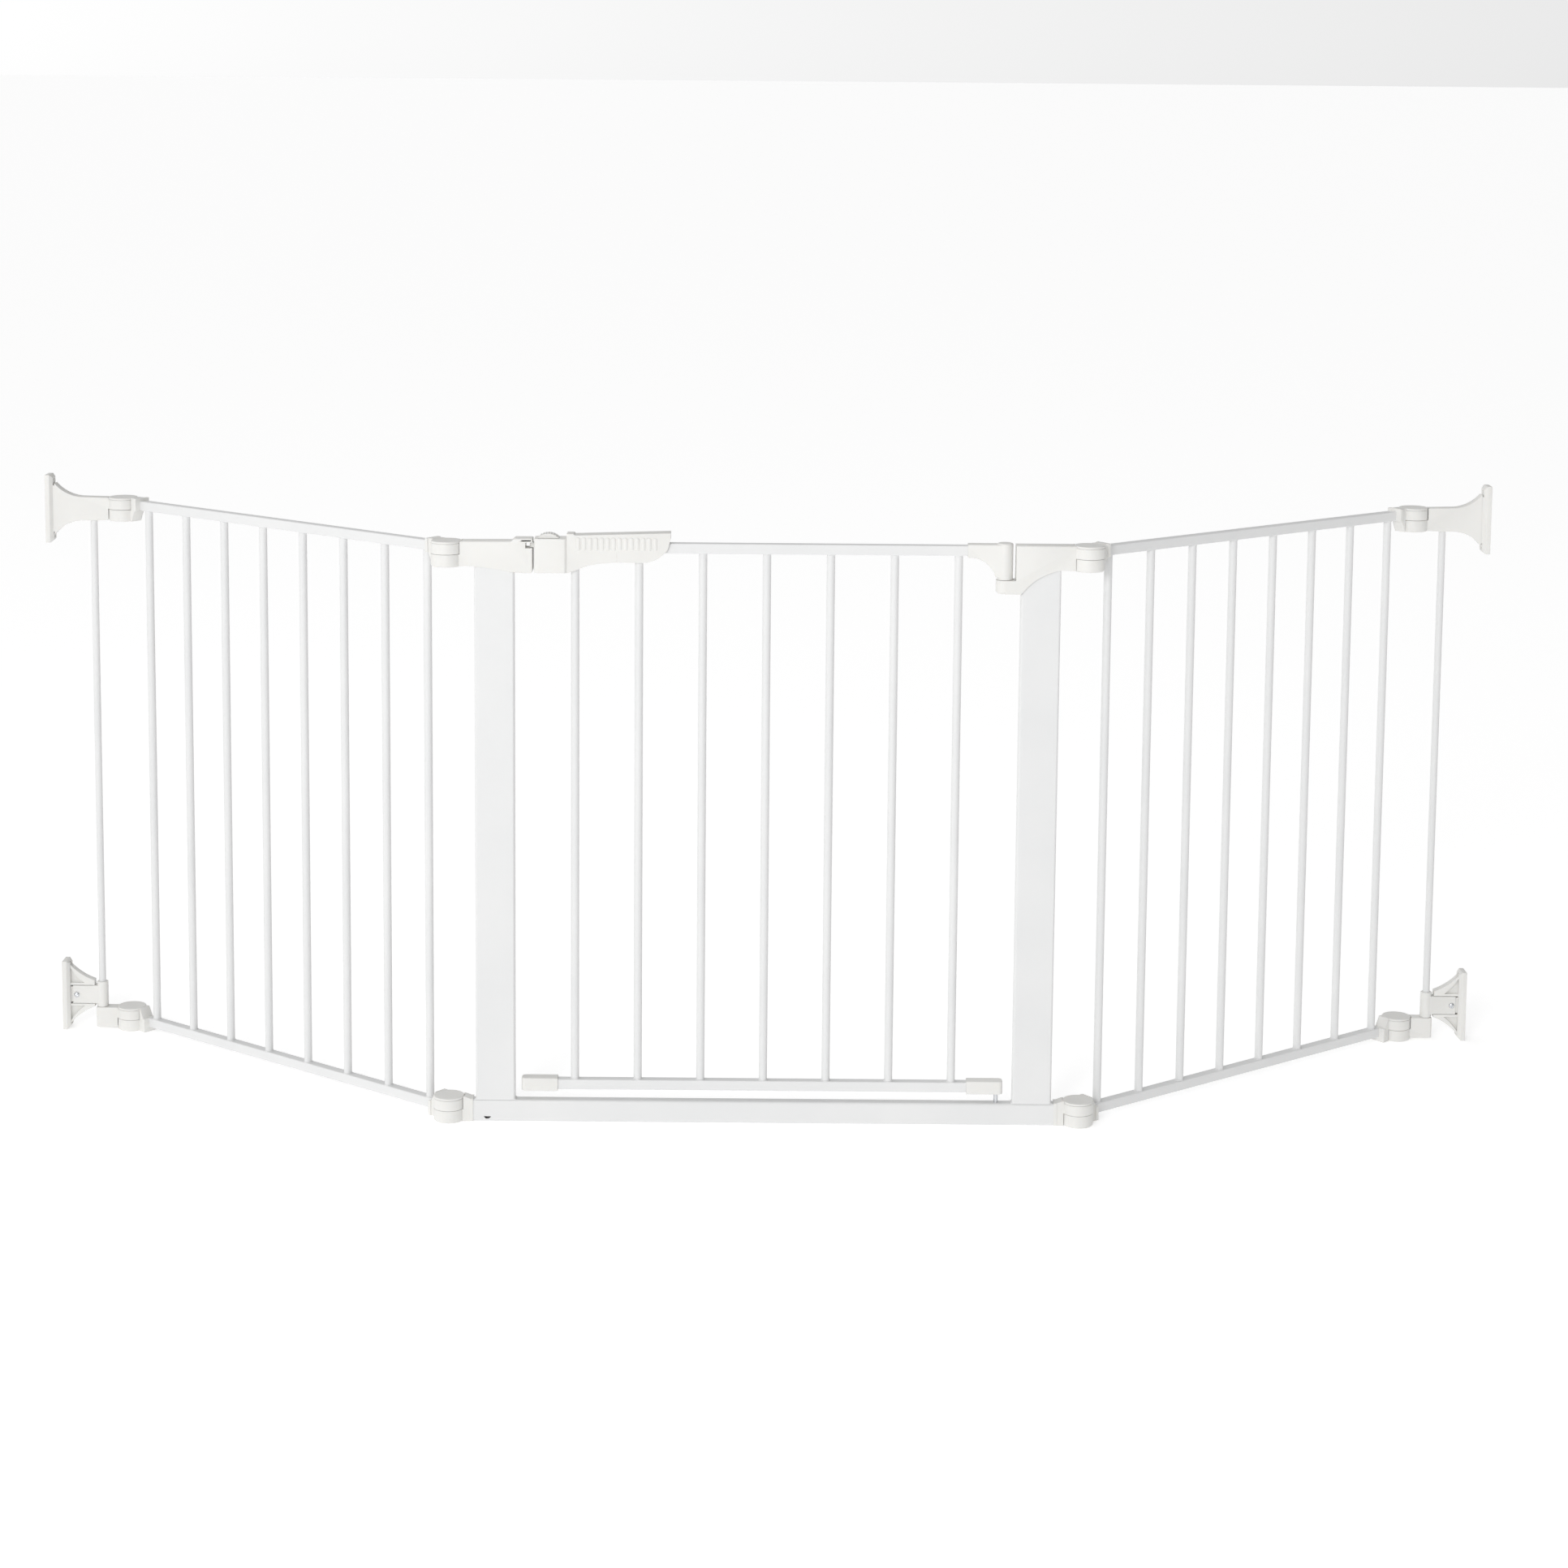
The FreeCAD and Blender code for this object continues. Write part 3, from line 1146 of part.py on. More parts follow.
os.makedirs("parts", exist_ok=True)
for name, thing in sub_parts.items():
    thing.Shape.exportStep(f"parts/{name}.step")
print(len(sub_parts), "sub-parts written")
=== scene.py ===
import json
import math

import bmesh
import bpy
from mathutils import Matrix, Vector


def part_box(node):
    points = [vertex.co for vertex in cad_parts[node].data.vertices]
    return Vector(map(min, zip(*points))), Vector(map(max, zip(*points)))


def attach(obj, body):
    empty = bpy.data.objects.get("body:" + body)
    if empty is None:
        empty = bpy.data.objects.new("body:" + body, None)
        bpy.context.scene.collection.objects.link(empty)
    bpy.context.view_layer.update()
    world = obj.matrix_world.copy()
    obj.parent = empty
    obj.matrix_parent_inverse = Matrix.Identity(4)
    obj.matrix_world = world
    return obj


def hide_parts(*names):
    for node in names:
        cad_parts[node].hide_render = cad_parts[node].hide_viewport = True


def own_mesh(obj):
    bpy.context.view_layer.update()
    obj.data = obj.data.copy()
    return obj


# A white steel safety gate: powder-coated tubes, moulded plastic hinges, handle
# and wall mounts, and zinc-plated screws.  Metres, X along the frame, Z up.

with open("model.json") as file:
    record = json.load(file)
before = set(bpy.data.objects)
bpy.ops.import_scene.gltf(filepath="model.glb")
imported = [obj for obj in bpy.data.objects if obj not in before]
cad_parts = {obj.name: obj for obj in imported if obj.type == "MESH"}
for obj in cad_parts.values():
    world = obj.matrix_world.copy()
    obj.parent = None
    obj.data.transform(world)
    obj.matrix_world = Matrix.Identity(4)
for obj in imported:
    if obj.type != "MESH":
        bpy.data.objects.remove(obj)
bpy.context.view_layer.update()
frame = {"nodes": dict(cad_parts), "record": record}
nodes = frame["nodes"]
bodies = frame["record"]["behaviour"]["bodies"]
body_of = {name: body for body, members in bodies.items() for name in members}

MM = 0.001
STEEL, PLASTIC, ZINC = "white_steel", "white_plastic", "zinc_steel"


# ---------------------------------------------------------------- camera
# The gate is seen from the front, from above its top, with its uprights nearly
# parallel, so the lens is long and part of the framing is shift.
EYE = Vector((0.0, -3.746, 1.318))
PITCH = math.radians(6.986)
ROLL = math.radians(0.469)

camera = bpy.data.objects.new("camera", bpy.data.cameras.new("camera"))
bpy.context.scene.collection.objects.link(camera)
camera.location = EYE
camera.rotation_mode = "QUATERNION"
camera.rotation_quaternion = (Matrix.Rotation(math.pi / 2 - PITCH, 3, "X")
                              @ Matrix.Rotation(ROLL, 3, "Z")).to_quaternion()
camera.data.lens = 70.45
camera.data.sensor_width = 36
camera.data.shift_x = 0.0097
camera.data.shift_y = -0.215
camera.data.clip_end = 1000
bpy.context.scene.camera = camera


# ---------------------------------------------------------------- materials
# Each finish drifts between two tones.
COAT_TONES = (0.710, 0.714, 0.715), (0.740, 0.742, 0.740)
PLASTIC_TONES = (0.735, 0.73, 0.708), (0.76, 0.755, 0.732)
ZINC_TONES = (0.58, 0.60, 0.63), (0.72, 0.73, 0.74)


def shader(name):
    material = bpy.data.materials.new(name)
    material.use_nodes = True
    tree = material.node_tree
    return material, tree, tree.nodes["Principled BSDF"]


def noise(tree, coords, scale, detail=2.0, roughness=0.5):
    texture = tree.nodes.new("ShaderNodeTexNoise")
    texture.inputs["Scale"].default_value = scale
    texture.inputs["Detail"].default_value = detail
    texture.inputs["Roughness"].default_value = roughness
    tree.links.new(coords, texture.inputs["Vector"])
    return texture.outputs["Fac"]


def ranged(tree, value, low, high):
    """Spreads a noise value over a range."""
    remap = tree.nodes.new("ShaderNodeMapRange")
    remap.inputs["From Min"].default_value = 0.3
    remap.inputs["From Max"].default_value = 0.7
    remap.inputs["To Min"].default_value = low
    remap.inputs["To Max"].default_value = high
    tree.links.new(value, remap.inputs["Value"])
    return remap.outputs["Result"]


def tinted(tree, factor, first, second):
    mix = tree.nodes.new("ShaderNodeMix")
    mix.data_type = "RGBA"
    mix.inputs["A"].default_value = (*first, 1)
    mix.inputs["B"].default_value = (*second, 1)
    tree.links.new(factor, mix.inputs["Factor"])
    return mix.outputs["Result"]


def bumped(tree, surface, height, strength, distance):
    bump = tree.nodes.new("ShaderNodeBump")
    bump.inputs["Strength"].default_value = strength
    bump.inputs["Distance"].default_value = distance
    tree.links.new(height, bump.inputs["Height"])
    tree.links.new(bump.outputs["Normal"], surface.inputs["Normal"])


def powder_coat():
    """Satin powder coat: faint orange peel, and colour that drifts a little."""
    material, tree, surface = shader("powder_coat")
    coords = tree.nodes.new("ShaderNodeTexCoord").outputs["Object"]
    drift = ranged(tree, noise(tree, coords, 9.0), 0.0, 1.0)
    tree.links.new(tinted(tree, drift, *COAT_TONES), surface.inputs["Base Color"])
    peel = noise(tree, coords, 650.0, 2.0, 0.45)
    tree.links.new(ranged(tree, peel, 0.30, 0.42), surface.inputs["Roughness"])
    bumped(tree, surface, peel, 0.5, 0.08 * MM)
    surface.inputs["Coat Weight"].default_value = 0.15
    surface.inputs["Coat Roughness"].default_value = 0.25
    return material


def moulded_plastic():
    """Warm white moulded plastic with the fine spark texture of its mould."""
    material, tree, surface = shader("moulded_plastic")
    coords = tree.nodes.new("ShaderNodeTexCoord").outputs["Object"]
    drift = ranged(tree, noise(tree, coords, 14.0), 0.0, 1.0)
    tree.links.new(tinted(tree, drift, *PLASTIC_TONES), surface.inputs["Base Color"])
    spark = noise(tree, coords, 1500.0, 3.0, 0.6)
    tree.links.new(ranged(tree, spark, 0.42, 0.56), surface.inputs["Roughness"])
    bumped(tree, surface, spark, 0.6, 0.07 * MM)
    surface.inputs["Subsurface Weight"].default_value = 0.08
    surface.inputs["Subsurface Radius"].default_value = (0.003, 0.0025, 0.002)
    return material


def zinc_plate():
    """Bright zinc on pressed and turned steel, slightly clouded."""
    material, tree, surface = shader("zinc_plate")
    coords = tree.nodes.new("ShaderNodeTexCoord").outputs["Object"]
    cloud = noise(tree, coords, 320.0, 4.0, 0.6)
    tone = tinted(tree, ranged(tree, cloud, 0, 1), *ZINC_TONES)
    tree.links.new(tone, surface.inputs["Base Color"])
    tree.links.new(ranged(tree, cloud, 0.22, 0.38), surface.inputs["Roughness"])
    bumped(tree, surface, cloud, 0.3, 0.02 * MM)
    surface.inputs["Metallic"].default_value = 1.0
    return material


COAT = powder_coat()
MOULDED = moulded_plastic()
PLATED = zinc_plate()
FINISH = {STEEL: COAT, PLASTIC: MOULDED, ZINC: PLATED}

slot_of = {part["node"]: part["material_slot"] for part in frame["record"]["subparts"]}
for name, thing in nodes.items():
    thing.data.materials.clear()
    thing.data.materials.append(FINISH[slot_of[name]])


# ---------------------------------------------------------------- mesh helpers
SAME_PLACE = 0.002 * MM             # corners nearer than this are one corner
SAME_PLANE = math.radians(0.5)      # faces that turn less than this are one face
CREASE = 35                         # degrees: a sharper edge stays crisp
COIL_CREASE = 60
ROUNDED_FROM = math.radians(38)     # a moulding's edges sharper than this are rounded
ROUNDED_STEPS = 3


def piece_from(name, mesh, body, slot, stands_for=()):
    """Adds a finished mesh to the gate, riding on a body."""
    piece = bpy.data.objects.new(name, mesh)
    bpy.context.scene.collection.objects.link(piece)
    mesh.materials.clear()
    mesh.materials.append(FINISH[slot])
    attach(piece, body)
    if stands_for:
        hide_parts(*stands_for)
    return piece


def smooth_by_angle(mesh, degrees=CREASE):
    """Smooth shading, with edges sharper than an angle kept crisp."""
    mesh.shade_smooth()
    bm = bmesh.new()
    bm.from_mesh(mesh)
    limit = math.radians(degrees)
    for edge in bm.edges:
        edge.smooth = len(edge.link_faces) == 2 and edge.calc_face_angle(0) < limit
    bm.to_mesh(mesh)
    bm.free()


def merged(node):
    """A copy of a CAD node's mesh with its faces joined up and flats made whole."""
    bm = bmesh.new()
    bm.from_mesh(nodes[node].data)
    bmesh.ops.remove_doubles(bm, verts=bm.verts, dist=SAME_PLACE)
    bmesh.ops.dissolve_limit(bm, angle_limit=SAME_PLANE, verts=bm.verts, edges=bm.edges)
    return bm


def as_mesh(bm, name):
    """Ends a bmesh's work as a plain mesh."""
    mesh = bpy.data.meshes.new(name)
    bm.to_mesh(mesh)
    bm.free()
    return mesh


def holder_of(mesh):
    """An object that carries a mesh while a modifier works on it."""
    holder = bpy.data.objects.new("working", mesh)
    bpy.context.scene.collection.objects.link(holder)
    return holder


def applied(holder):
    """The plain mesh that the holder's modifier gives; the holder goes."""
    graph = bpy.context.evaluated_depsgraph_get()
    result = bpy.data.meshes.new_from_object(holder.evaluated_get(graph))
    bpy.data.objects.remove(holder)
    return result


def soften(node, radius):
    """Rounds a moulding's edges the way its mould would."""
    holder = holder_of(as_mesh(merged(node), node))
    bevel = holder.modifiers.new("bevel", "BEVEL")
    bevel.width = radius
    bevel.segments = ROUNDED_STEPS
    bevel.limit_method = "ANGLE"
    bevel.angle_limit = ROUNDED_FROM
    bevel.use_clamp_overlap = True
    bevel.miter_outer = "MITER_ARC"
    bevel.harden_normals = False
    mesh = applied(holder)
    smooth_by_angle(mesh)
    piece_from(node + "_moulding", mesh, body_of[node], PLASTIC, [node])


# The radius in millimetres of each moulding's edges.
SOFT_EDGES = {
    "latch_housing": 1.2, "hinge_bracket": 1.2, "door_hinge_arm": 1.0,
    "left_sill_end": 0.8, "right_sill_end": 0.8,
    "door_free_cap": 0.6, "door_pivot_cap": 0.6,
    "left_wall_trumpet": 1.0, "right_wall_trumpet": 1.0,
    "left_wall_plate": 0.6, "right_wall_plate": 0.6,
    "left_foot_arm": 0.8, "right_foot_arm": 0.8,
    "left_rod_sleeve": 0.5, "right_rod_sleeve": 0.5,
    "left_wall_bracket": 0.6, "right_wall_bracket": 0.6,
    "handle_front": 1.2, "handle_back": 1.2,
}
PANEL_END_EDGE = 0.7
for side in ("left", "right"):
    for level in ("upper", "lower"):
        for end in ("left", "right"):
            SOFT_EDGES[f"{side}_panel_{level}_{end}_end"] = PANEL_END_EDGE
for name, radius in SOFT_EDGES.items():
    soften(name, radius * MM)


# ---------------------------------------------------------------- repeated details
class Pattern:
    """A Geometry Nodes tree with named sizes: Realize Instances, then Set Material, end it."""

    KINDS = {float: "NodeSocketFloat", int: "NodeSocketInt", tuple: "NodeSocketVector"}

    def __init__(self, name, **sizes):
        self.tree = bpy.data.node_groups.new(name, "GeometryNodeTree")
        self.sockets = {}
        self.add_input("places", "NodeSocketGeometry")
        for label, value in sizes.items():
            self.add_input(label, self.KINDS[type(value)]).default_value = value
        self.add_input("finish", "NodeSocketMaterial")
        self.tree.interface.new_socket("result", in_out="OUTPUT", socket_type="NodeSocketGeometry")
        self.given = self.tree.nodes.new("NodeGroupInput").outputs

    def add_input(self, label, kind):
        socket = self.tree.interface.new_socket(label, in_out="INPUT", socket_type=kind)
        self.sockets[label] = socket
        return socket

    def node(self, kind, settings=None, **inputs):
        """Adds a node; inputs are links, or values, named by socket with _ for a space."""
        made = self.tree.nodes.new(kind)
        for key, value in (settings or {}).items():
            setattr(made, key, value)
        for key, value in inputs.items():
            label = key.replace("_", " ")
            self.feed(next(s for s in made.inputs if s.enabled and s.name == label), value)
        return made

    def feed(self, socket, value):
        if isinstance(value, bpy.types.NodeSocket):
            self.tree.links.new(value, socket)
        else:
            socket.default_value = value

    def sum(self, operation, first, second=0.0):
        """Arithmetic on one or two numbers or links."""
        made = self.tree.nodes.new("ShaderNodeMath")
        made.operation = operation
        self.feed(made.inputs[0], first)
        self.feed(made.inputs[1], second)
        return made.outputs["Value"]

    def vector(self, x, y, z):
        return self.node("ShaderNodeCombineXYZ", X=x, Y=y, Z=z).outputs["Vector"]

    def position(self):
        """The X, Y and Z of each point of the geometry that a step works on."""
        place = self.node("GeometryNodeInputPosition").outputs["Position"]
        return self.node("ShaderNodeSeparateXYZ", Vector=place).outputs

    def moved(self, geometry, offset):
        made = self.node("GeometryNodeSetPosition", Geometry=geometry, Offset=offset)
        return made.outputs["Geometry"]

    def shaped(self, geometry, **change):
        """Geometry after a Translation, Rotation or Scale."""
        made = self.node("GeometryNodeTransform", Geometry=geometry, **change)
        return made.outputs["Geometry"]

    def realized(self, geometry):
        return self.node("GeometryNodeRealizeInstances", Geometry=geometry).outputs["Geometry"]

    def box(self, x, y, z):
        return self.node("GeometryNodeMeshCube", Size=self.vector(x, y, z)).outputs["Mesh"]

    def turned_by(self, euler):
        return self.node("FunctionNodeEulerToRotation", Euler=euler).outputs["Rotation"]

    def on_places(self, thing):
        """Instances a thing on every place, turned as its place says."""
        turn = self.node("GeometryNodeInputNamedAttribute", {"data_type": "FLOAT_VECTOR"},
                         Name="turn")
        made = self.node("GeometryNodeInstanceOnPoints", Points=self.given["places"],
                         Instance=thing, Rotation=self.turned_by(turn.outputs["Attribute"]))
        return made.outputs["Instances"]

    def cut_by(self, operation, first, second):
        """One exact boolean step: only DIFFERENCE takes its first mesh by its own socket."""
        made = self.tree.nodes.new("GeometryNodeMeshBoolean")
        made.operation = operation
        made.solver = "EXACT"
        kept = "Mesh 1" if operation == "DIFFERENCE" else "Mesh 2"
        self.tree.links.new(first, made.inputs[kept])
        self.tree.links.new(second, made.inputs["Mesh 2"])
        return made.outputs["Mesh"]

    def finish(self, geometry, smooth=True):
        real = self.realized(geometry)
        if smooth:
            real = self.node("GeometryNodeSetShadeSmooth", Geometry=real).outputs["Geometry"]
        coated = self.node("GeometryNodeSetMaterial", Geometry=real,
                           Material=self.given["finish"])
        end = self.tree.nodes.new("NodeGroupOutput")
        self.tree.links.new(coated.outputs["Geometry"], end.inputs["result"])

    def grow(self, name, places, body, slot, stands_for=(), turns=None, **sizes):
        """Runs the tree on a set of places and adds the plain mesh that it gives."""
        seeds = bpy.data.meshes.new(name)
        seeds.from_pydata([tuple(place) for place in places], [], [])
        turned = seeds.attributes.new("turn", "FLOAT_VECTOR", "POINT")
        for index in range(len(places)):
            turned.data[index].vector = turns[index] if turns else (0, 0, 0)
        holder = holder_of(seeds)
        modifier = holder.modifiers.new("pattern", "NODES")
        modifier.node_group = self.tree
        for label, value in {**sizes, "finish": FINISH[slot]}.items():
            modifier[self.sockets[label].identifier] = value
        mesh = applied(holder)
        mesh.name = name
        return piece_from(name, mesh, body, slot, stands_for)


def rib_pattern():
    """Rounded ribs in a row along X, which may follow a crown; each rib stands along Z."""
    # Times a height on the unit ball, this rounds to 0 only on the ball's middle ring.
    off_middle = 40.0
    p = Pattern("rib_row", count=5, pitch=0.005, length=0.01, width=0.003, proud=0.001,
                crown=1000.0, lean=(0.0, 0.0, 0.0))
    ball = p.node("GeometryNodeMeshUVSphere", Segments=16, Rings=16, Radius=1.0)
    side = p.sum("SIGN", p.sum("ROUND", p.sum("MULTIPLY", p.position()["Z"], off_middle)))
    half = p.sum("MULTIPLY", p.given["width"], 0.5)
    straight = p.sum("SUBTRACT", p.sum("DIVIDE", p.given["length"], p.given["width"]), 1.0)
    rib = p.moved(ball.outputs["Mesh"], p.vector(0.0, 0.0, p.sum("MULTIPLY", side, straight)))
    rib = p.shaped(rib, Scale=p.vector(half, p.given["proud"], half))
    rib = p.shaped(rib, Rotation=p.turned_by(p.given["lean"]))

    steps = p.sum("SUBTRACT", p.given["count"], 1.0)
    first = p.sum("MULTIPLY", p.sum("MULTIPLY", steps, p.given["pitch"]), -0.5)
    row = p.node("GeometryNodeMeshLine", Count=p.given["count"],
                 Offset=p.vector(p.given["pitch"], 0.0, 0.0),
                 Start_Location=p.vector(first, 0.0, 0.0))
    across = p.position()["X"]
    drop = p.sum("DIVIDE", p.sum("MULTIPLY", across, across),
                 p.sum("MULTIPLY", p.given["crown"], -2.0))
    row = p.moved(row.outputs["Mesh"], p.vector(0.0, 0.0, drop))
    ribs = p.node("GeometryNodeInstanceOnPoints", Points=row, Instance=rib)
    p.finish(p.on_places(p.realized(ribs.outputs["Instances"])))
    return p


def weld_pattern():
    """A lumpy ring of weld round each bar's end, under the powder coat."""
    p = Pattern("weld_ring", radius=0.0053, bead=0.0008, lumps=0.0003)
    path = p.node("GeometryNodeCurvePrimitiveCircle", Resolution=28, Radius=p.given["radius"])
    section = p.node("GeometryNodeCurvePrimitiveCircle", Resolution=8, Radius=p.given["bead"])
    ring = p.node("GeometryNodeCurveToMesh", Curve=path.outputs["Curve"],
                  Profile_Curve=section.outputs["Curve"])
    rings = p.realized(p.on_places(ring.outputs["Mesh"]))
    lump = p.node("ShaderNodeTexNoise", {"noise_dimensions": "3D"}, Scale=420.0, Detail=1.0)
    height = p.sum("MULTIPLY", p.sum("SUBTRACT", lump.outputs["Fac"], 0.5), p.given["lumps"])
    normal = p.node("GeometryNodeInputNormal").outputs["Normal"]
    push = p.node("ShaderNodeVectorMath", {"operation": "SCALE"}, Vector=normal, Scale=height)
    p.finish(p.moved(rings, push.outputs["Vector"]))
    return p


def screw_pattern():
    """A domed screw with a cross recess; its head faces along Z from its place."""
    recess_reach = 1.15         # the recess's length, over half the head's width
    sunk = -0.499               # just under half, so that the shank enters the dome
    p = Pattern("domed_screw", head=0.0039, dome=0.0022, shank=0.002, length=0.008,
                slot=0.001, depth=0.0014)
    ball = p.node("GeometryNodeMeshUVSphere", Segments=32, Rings=24, Radius=1.0)
    dome = p.shaped(ball.outputs["Mesh"],
                    Scale=p.vector(p.given["head"], p.given["head"], p.given["dome"]))
    wide = p.sum("MULTIPLY", p.given["head"], 4.0)
    above = p.shaped(p.box(wide, wide, wide),
                     Translation=p.vector(0.0, 0.0, p.sum("MULTIPLY", wide, 0.5)))
    reach = p.sum("MULTIPLY", p.given["head"], recess_reach)
    tall = p.sum("MULTIPLY", p.given["depth"], 2.0)
    head = p.cut_by("INTERSECT", dome, above)
    for arm in (p.box(reach, p.given["slot"], tall), p.box(p.given["slot"], reach, tall)):
        raised = p.shaped(arm, Translation=p.vector(0.0, 0.0, p.given["dome"]))
        head = p.cut_by("DIFFERENCE", head, raised)
    shank = p.node("GeometryNodeMeshCylinder", Vertices=20, Radius=p.given["shank"],
                   Depth=p.given["length"])
    shank = p.shaped(shank.outputs["Mesh"], Translation=p.vector(
        0.0, 0.0, p.sum("MULTIPLY", p.given["length"], sunk)))
    whole = p.tree.nodes.new("GeometryNodeJoinGeometry")
    p.tree.links.new(head, whole.inputs["Geometry"])
    p.tree.links.new(shank, whole.inputs["Geometry"])
    p.finish(p.on_places(whole.outputs["Geometry"]), smooth=False)
    return p


def solids_of(node):
    """The lowest and highest corners of each separate solid in a CAD node."""
    bm = bmesh.new()
    bm.from_mesh(nodes[node].data)
    bmesh.ops.remove_doubles(bm, verts=bm.verts, dist=SAME_PLACE)
    seen, boxes = set(), []
    for start in bm.verts:
        if start in seen:
            continue
        seen.add(start)
        found, waiting = [start], [start]
        while waiting:
            for edge in waiting.pop().link_edges:
                for vert in edge.verts:
                    if vert not in seen:
                        seen.add(vert)
                        found.append(vert)
                        waiting.append(vert)
        boxes.append((Vector([min(v.co[i] for v in found) for i in range(3)]),
                      Vector([max(v.co[i] for v in found) for i in range(3)])))
    bm.free()
    return boxes


def in_metres(sizes):
    """Sizes given in millimetres; counts stay as they are."""
    return {key: size if isinstance(size, int) else size * MM for key, size in sizes.items()}


RIBS, WELDS, SCREWS = rib_pattern(), weld_pattern(), screw_pattern()
UPRIGHT_TO_FLAT = (math.pi / 2, 0.0, 0.0)       # lays a rib along Y

# Millimetres, except for the counts.
GRIP_RIBS = {"count": 14, "pitch": 7.3, "length": 16.5, "width": 5.6, "proud": 1.1}
GRIP_SEAM = {"count": 1, "length": 13.0, "width": 0.7, "proud": 0.35}
GRIP_MIDDLE = 66.5          # the ribs' and the seam's middle, from the grip's end
GRIP_RIB_DROP = 14.25       # below the handle's top
GRIP_SEAM_DROP = 29.4
GRIP_SET_BACK = 3           # the grip's faces behind the handle's widest ones
BUTTON_TREADS = {"count": 7, "pitch": 3.1, "length": 14.6, "width": 1.5, "proud": 0.55}
BUTTON_RISE = 5.5           # the middle of the button's crown above its ends
BAR_WELD = {"radius": 5.35, "bead": 0.75, "lumps": 0.7}
FOOT_WELD = {"count": 1, "length": 13.0, "width": 3.2, "proud": 1.3}
SCREW_HEAD = 3.9            # half the width of a head

# CAD node, body, the way the heads face along Y, dome's height, shank's length.
SCREW_SETS = (("bracket_screws", "frame", 1, 2.2, 8.0),
              ("handle_screws", "door", 1, 1.7, 14.0),
              ("left_set_screw", "left_sleeve", -1, 2.4, 10.0),
              ("right_set_screw", "right_sleeve", -1, 2.4, 10.0))
FIRST_TURN, NEXT_TURN = 17, 53      # degrees: a set's first screw, and each next one's more


def handle_details():
    """Grip ribs on both faces, the line between the grip's two mouldings, the button's treads."""
    low, high = (Vector(corner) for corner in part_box("handle_front"))
    back = Vector(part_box("handle_back")[1])
    middle_x, middle_z = high.x - GRIP_MIDDLE * MM, high.z - GRIP_RIB_DROP * MM
    seam_z = high.z - GRIP_SEAM_DROP * MM
    faces = low.y + GRIP_SET_BACK * MM, back.y - GRIP_SET_BACK * MM
    RIBS.grow("grip_ribs", [(middle_x, y, middle_z) for y in faces], "door", PLASTIC,
              **in_metres(GRIP_RIBS))
    RIBS.grow("grip_seams", [(middle_x, y, seam_z) for y in faces], "door", PLASTIC,
              **in_metres(GRIP_SEAM))
    low, high = (Vector(corner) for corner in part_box("release_button"))
    half, rise = (high.x - low.x) / 2, BUTTON_RISE * MM
    crown = (half * half + rise * rise) / (2 * rise)
    RIBS.grow("button_treads", [((low.x + high.x) / 2, 0, high.z)], "latch", PLASTIC,
              crown=crown, lean=UPRIGHT_TO_FLAT, **in_metres(BUTTON_TREADS))


def bar_welds():
    """Rings of weld at the bars' ends and beads where the posts stand on the sill."""
    for body in ("left_panel", "door", "right_panel"):
        ends = []
        for low, high in solids_of(body + "_bars"):
            middle = (low + high) / 2
            ends += [(middle.x, middle.y, low.z), (middle.x, middle.y, high.z)]
        WELDS.grow(body + "_bars_welds", ends, body, STEEL, **in_metres(BAR_WELD))
    feet = []
    for post in ("left_post", "right_post"):
        low, high = (Vector(corner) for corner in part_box(post))
        feet += [(low.x, 0, low.z), (high.x, 0, low.z)]
    RIBS.grow("post_foot_welds", feet, "frame", STEEL, lean=UPRIGHT_TO_FLAT,
              **in_metres(FOOT_WELD))


def screws():
    """The visible screws, each on its CAD screw's own axis."""
    for node, body, facing, dome, length in SCREW_SETS:
        places = []
        for low, high in solids_of(node):
            middle = (low + high) / 2
            tip = high.y if facing > 0 else low.y
            places.append((middle.x, tip - facing * dome * MM, middle.z))
        turns = [(-facing * math.pi / 2, math.radians(FIRST_TURN + NEXT_TURN * i), 0)
                 for i in range(len(places))]
        piece = SCREWS.grow(node + "_crossed", places, body, ZINC, [node], turns,
                            dome=dome * MM, length=length * MM, head=SCREW_HEAD * MM)
        smooth_by_angle(piece.data)


def latch_spring():
    """The latch's spring: a smoothed copy of the CAD coil, on a mesh of its own."""
    mesh = as_mesh(merged("latch_spring"), "latch_coil")
    smooth_by_angle(mesh, COIL_CREASE)
    piece = piece_from("latch_coil", mesh, "door", ZINC, ["latch_spring"])
    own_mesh(piece)


handle_details()
bar_welds()
screws()
latch_spring()


# ---------------------------------------------------------------- stage and light
SKY_BASE = 0.13
SKY_SLOPE = (-0.36, 0.0, 0.8)       # the surround gets brighter this way
SKY_LEAST = 0.1
HAZE = 0.78                         # extra brightness at the horizon
HAZE_TOP = 0.3                      # how high the haze reaches
FLOOR_RADIUS = 400                  # far enough to meet the horizon
FLOOR_TONE = 0.93
FLOOR_GLOW = 0.33                   # keeps the floor as pale as the surround


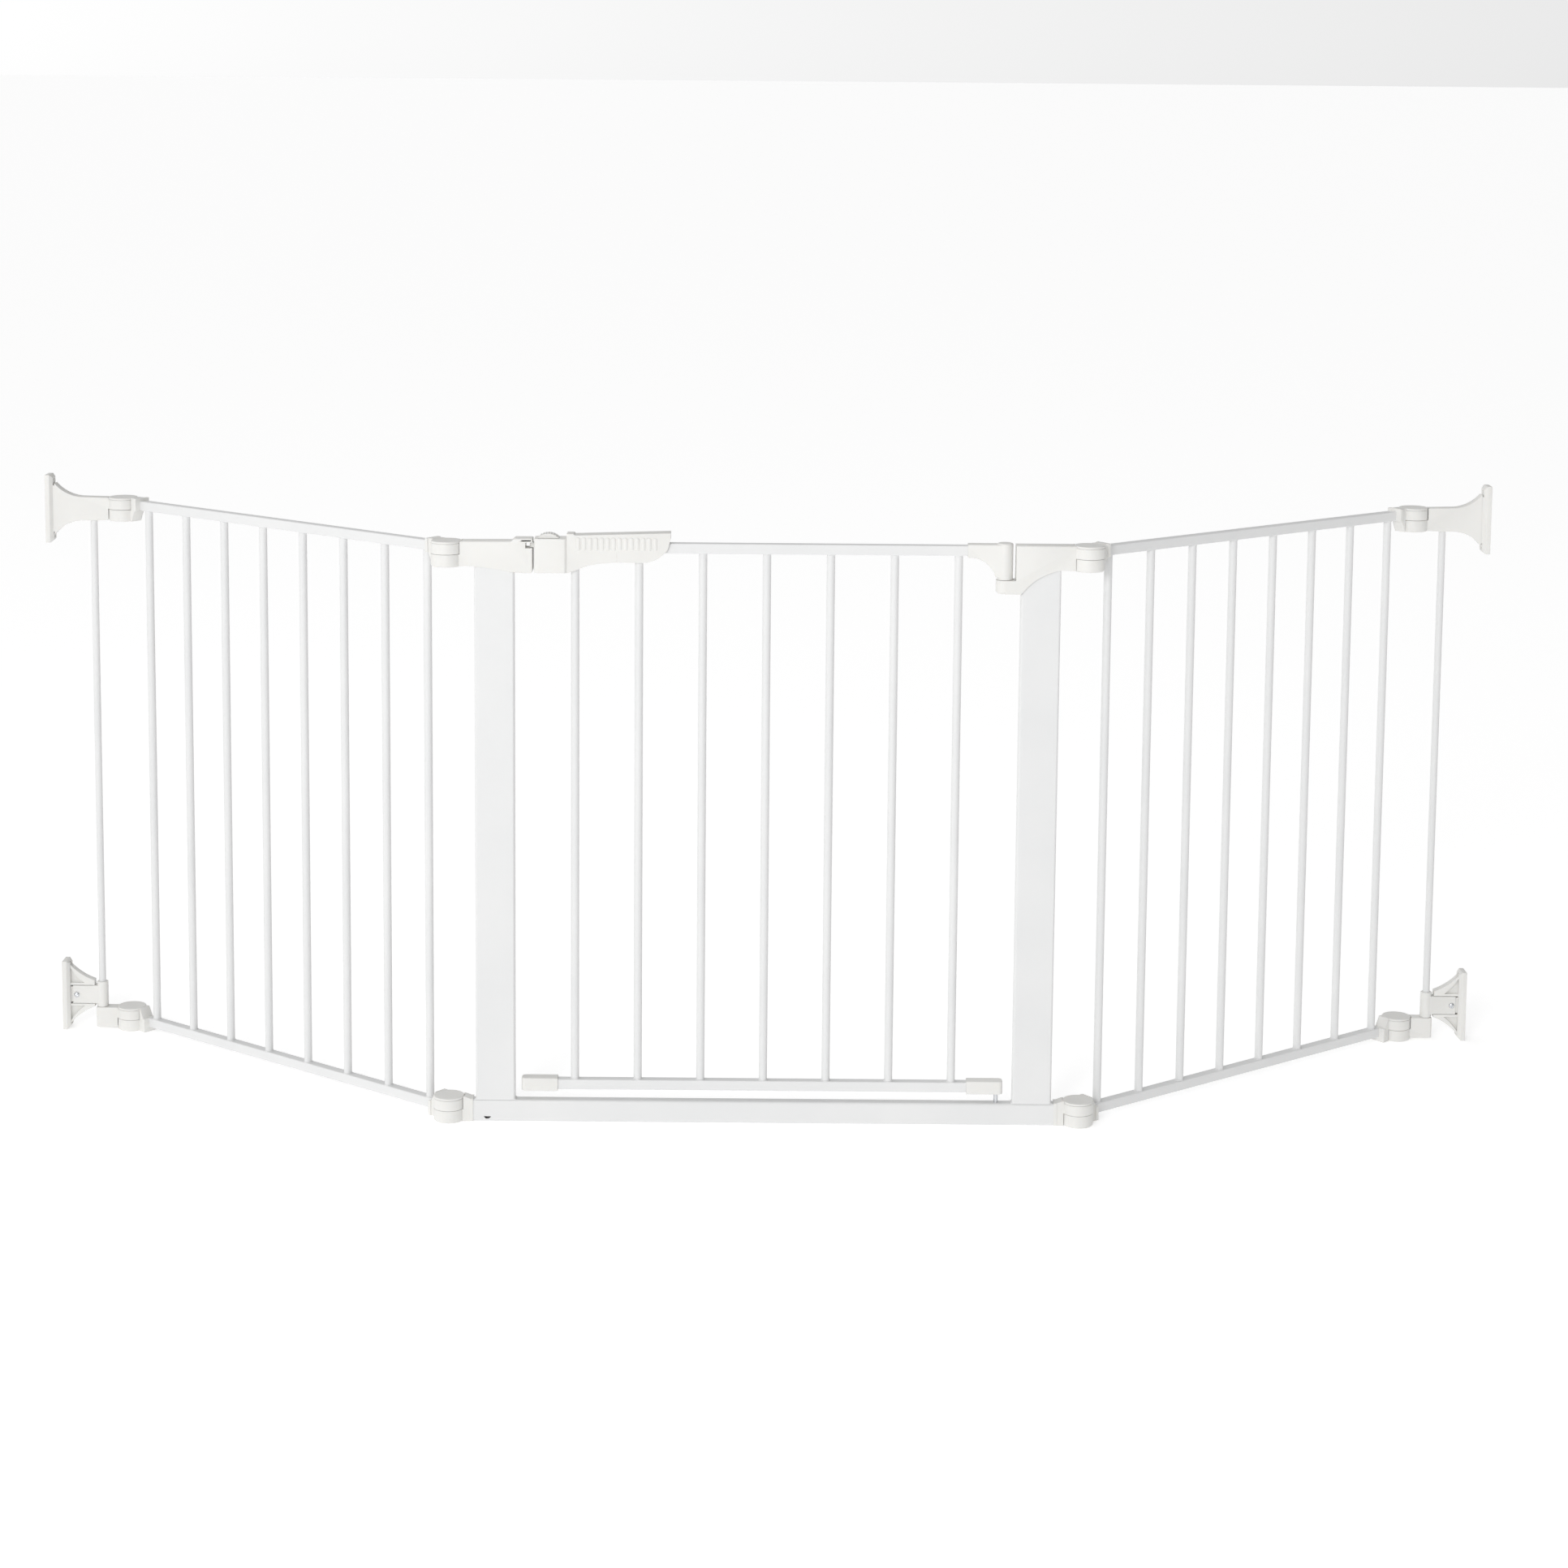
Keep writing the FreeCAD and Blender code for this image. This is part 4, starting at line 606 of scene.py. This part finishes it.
def floor():
    bm = bmesh.new()
    bmesh.ops.create_circle(bm, cap_ends=True, segments=96, radius=FLOOR_RADIUS)
    mesh = as_mesh(bm, "floor")
    thing = bpy.data.objects.new("floor", mesh)
    bpy.context.scene.collection.objects.link(thing)
    material, _, surface = shader("floor_paint")
    surface.inputs["Base Color"].default_value = (FLOOR_TONE, FLOOR_TONE, FLOOR_TONE, 1)
    surface.inputs["Roughness"].default_value = 0.9
    surface.inputs["Emission Color"].default_value = (1, 1, 1, 1)
    surface.inputs["Emission Strength"].default_value = FLOOR_GLOW
    mesh.materials.append(material)


def sky():
    """A soft surround: brighter overhead and to the left, with a pale haze along the horizon."""
    world = bpy.data.worlds.new("surround")
    bpy.context.scene.world = world
    world.use_nodes = True
    tree = world.node_tree
    toward = tree.nodes.new("ShaderNodeTexCoord").outputs["Generated"]

    slope = tree.nodes.new("ShaderNodeVectorMath")
    slope.operation = "DOT_PRODUCT"
    slope.inputs[1].default_value = SKY_SLOPE
    tree.links.new(toward, slope.inputs[0])

    height = tree.nodes.new("ShaderNodeSeparateXYZ")
    tree.links.new(toward, height.inputs["Vector"])
    haze = tree.nodes.new("ShaderNodeMapRange")
    haze.interpolation_type = "SMOOTHSTEP"
    haze.inputs["From Min"].default_value = 0
    haze.inputs["From Max"].default_value = HAZE_TOP
    haze.inputs["To Min"].default_value = SKY_BASE + HAZE
    haze.inputs["To Max"].default_value = SKY_BASE
    tree.links.new(height.outputs["Z"], haze.inputs["Value"])

    total = tree.nodes.new("ShaderNodeMath")
    total.operation = "ADD"
    tree.links.new(slope.outputs["Value"], total.inputs[0])
    tree.links.new(haze.outputs["Result"], total.inputs[1])
    lit = tree.nodes.new("ShaderNodeMath")
    lit.operation = "MAXIMUM"
    lit.inputs[1].default_value = SKY_LEAST
    tree.links.new(total.outputs["Value"], lit.inputs[0])
    tree.nodes["Background"].inputs["Color"].default_value = (1, 1, 1, 1)
    tree.links.new(lit.outputs["Value"], tree.nodes["Background"].inputs["Strength"])


def softbox(name, at, aim, size, power):
    light = bpy.data.objects.new(name, bpy.data.lights.new(name, "AREA"))
    bpy.context.scene.collection.objects.link(light)
    light.data.shape = "RECTANGLE"
    light.data.size, light.data.size_y = size
    light.data.energy = power
    light.location = at
    light.rotation_euler = (Vector(aim) - Vector(at)).to_track_quat("-Z", "Y").to_euler()


floor()
sky()
softbox("key", at=(-1.7, -5.2, 2.35), aim=(0, 0.1, 0.4), size=(1.8, 1.8), power=108)
bpy.context.scene.view_settings.view_transform = "Standard"
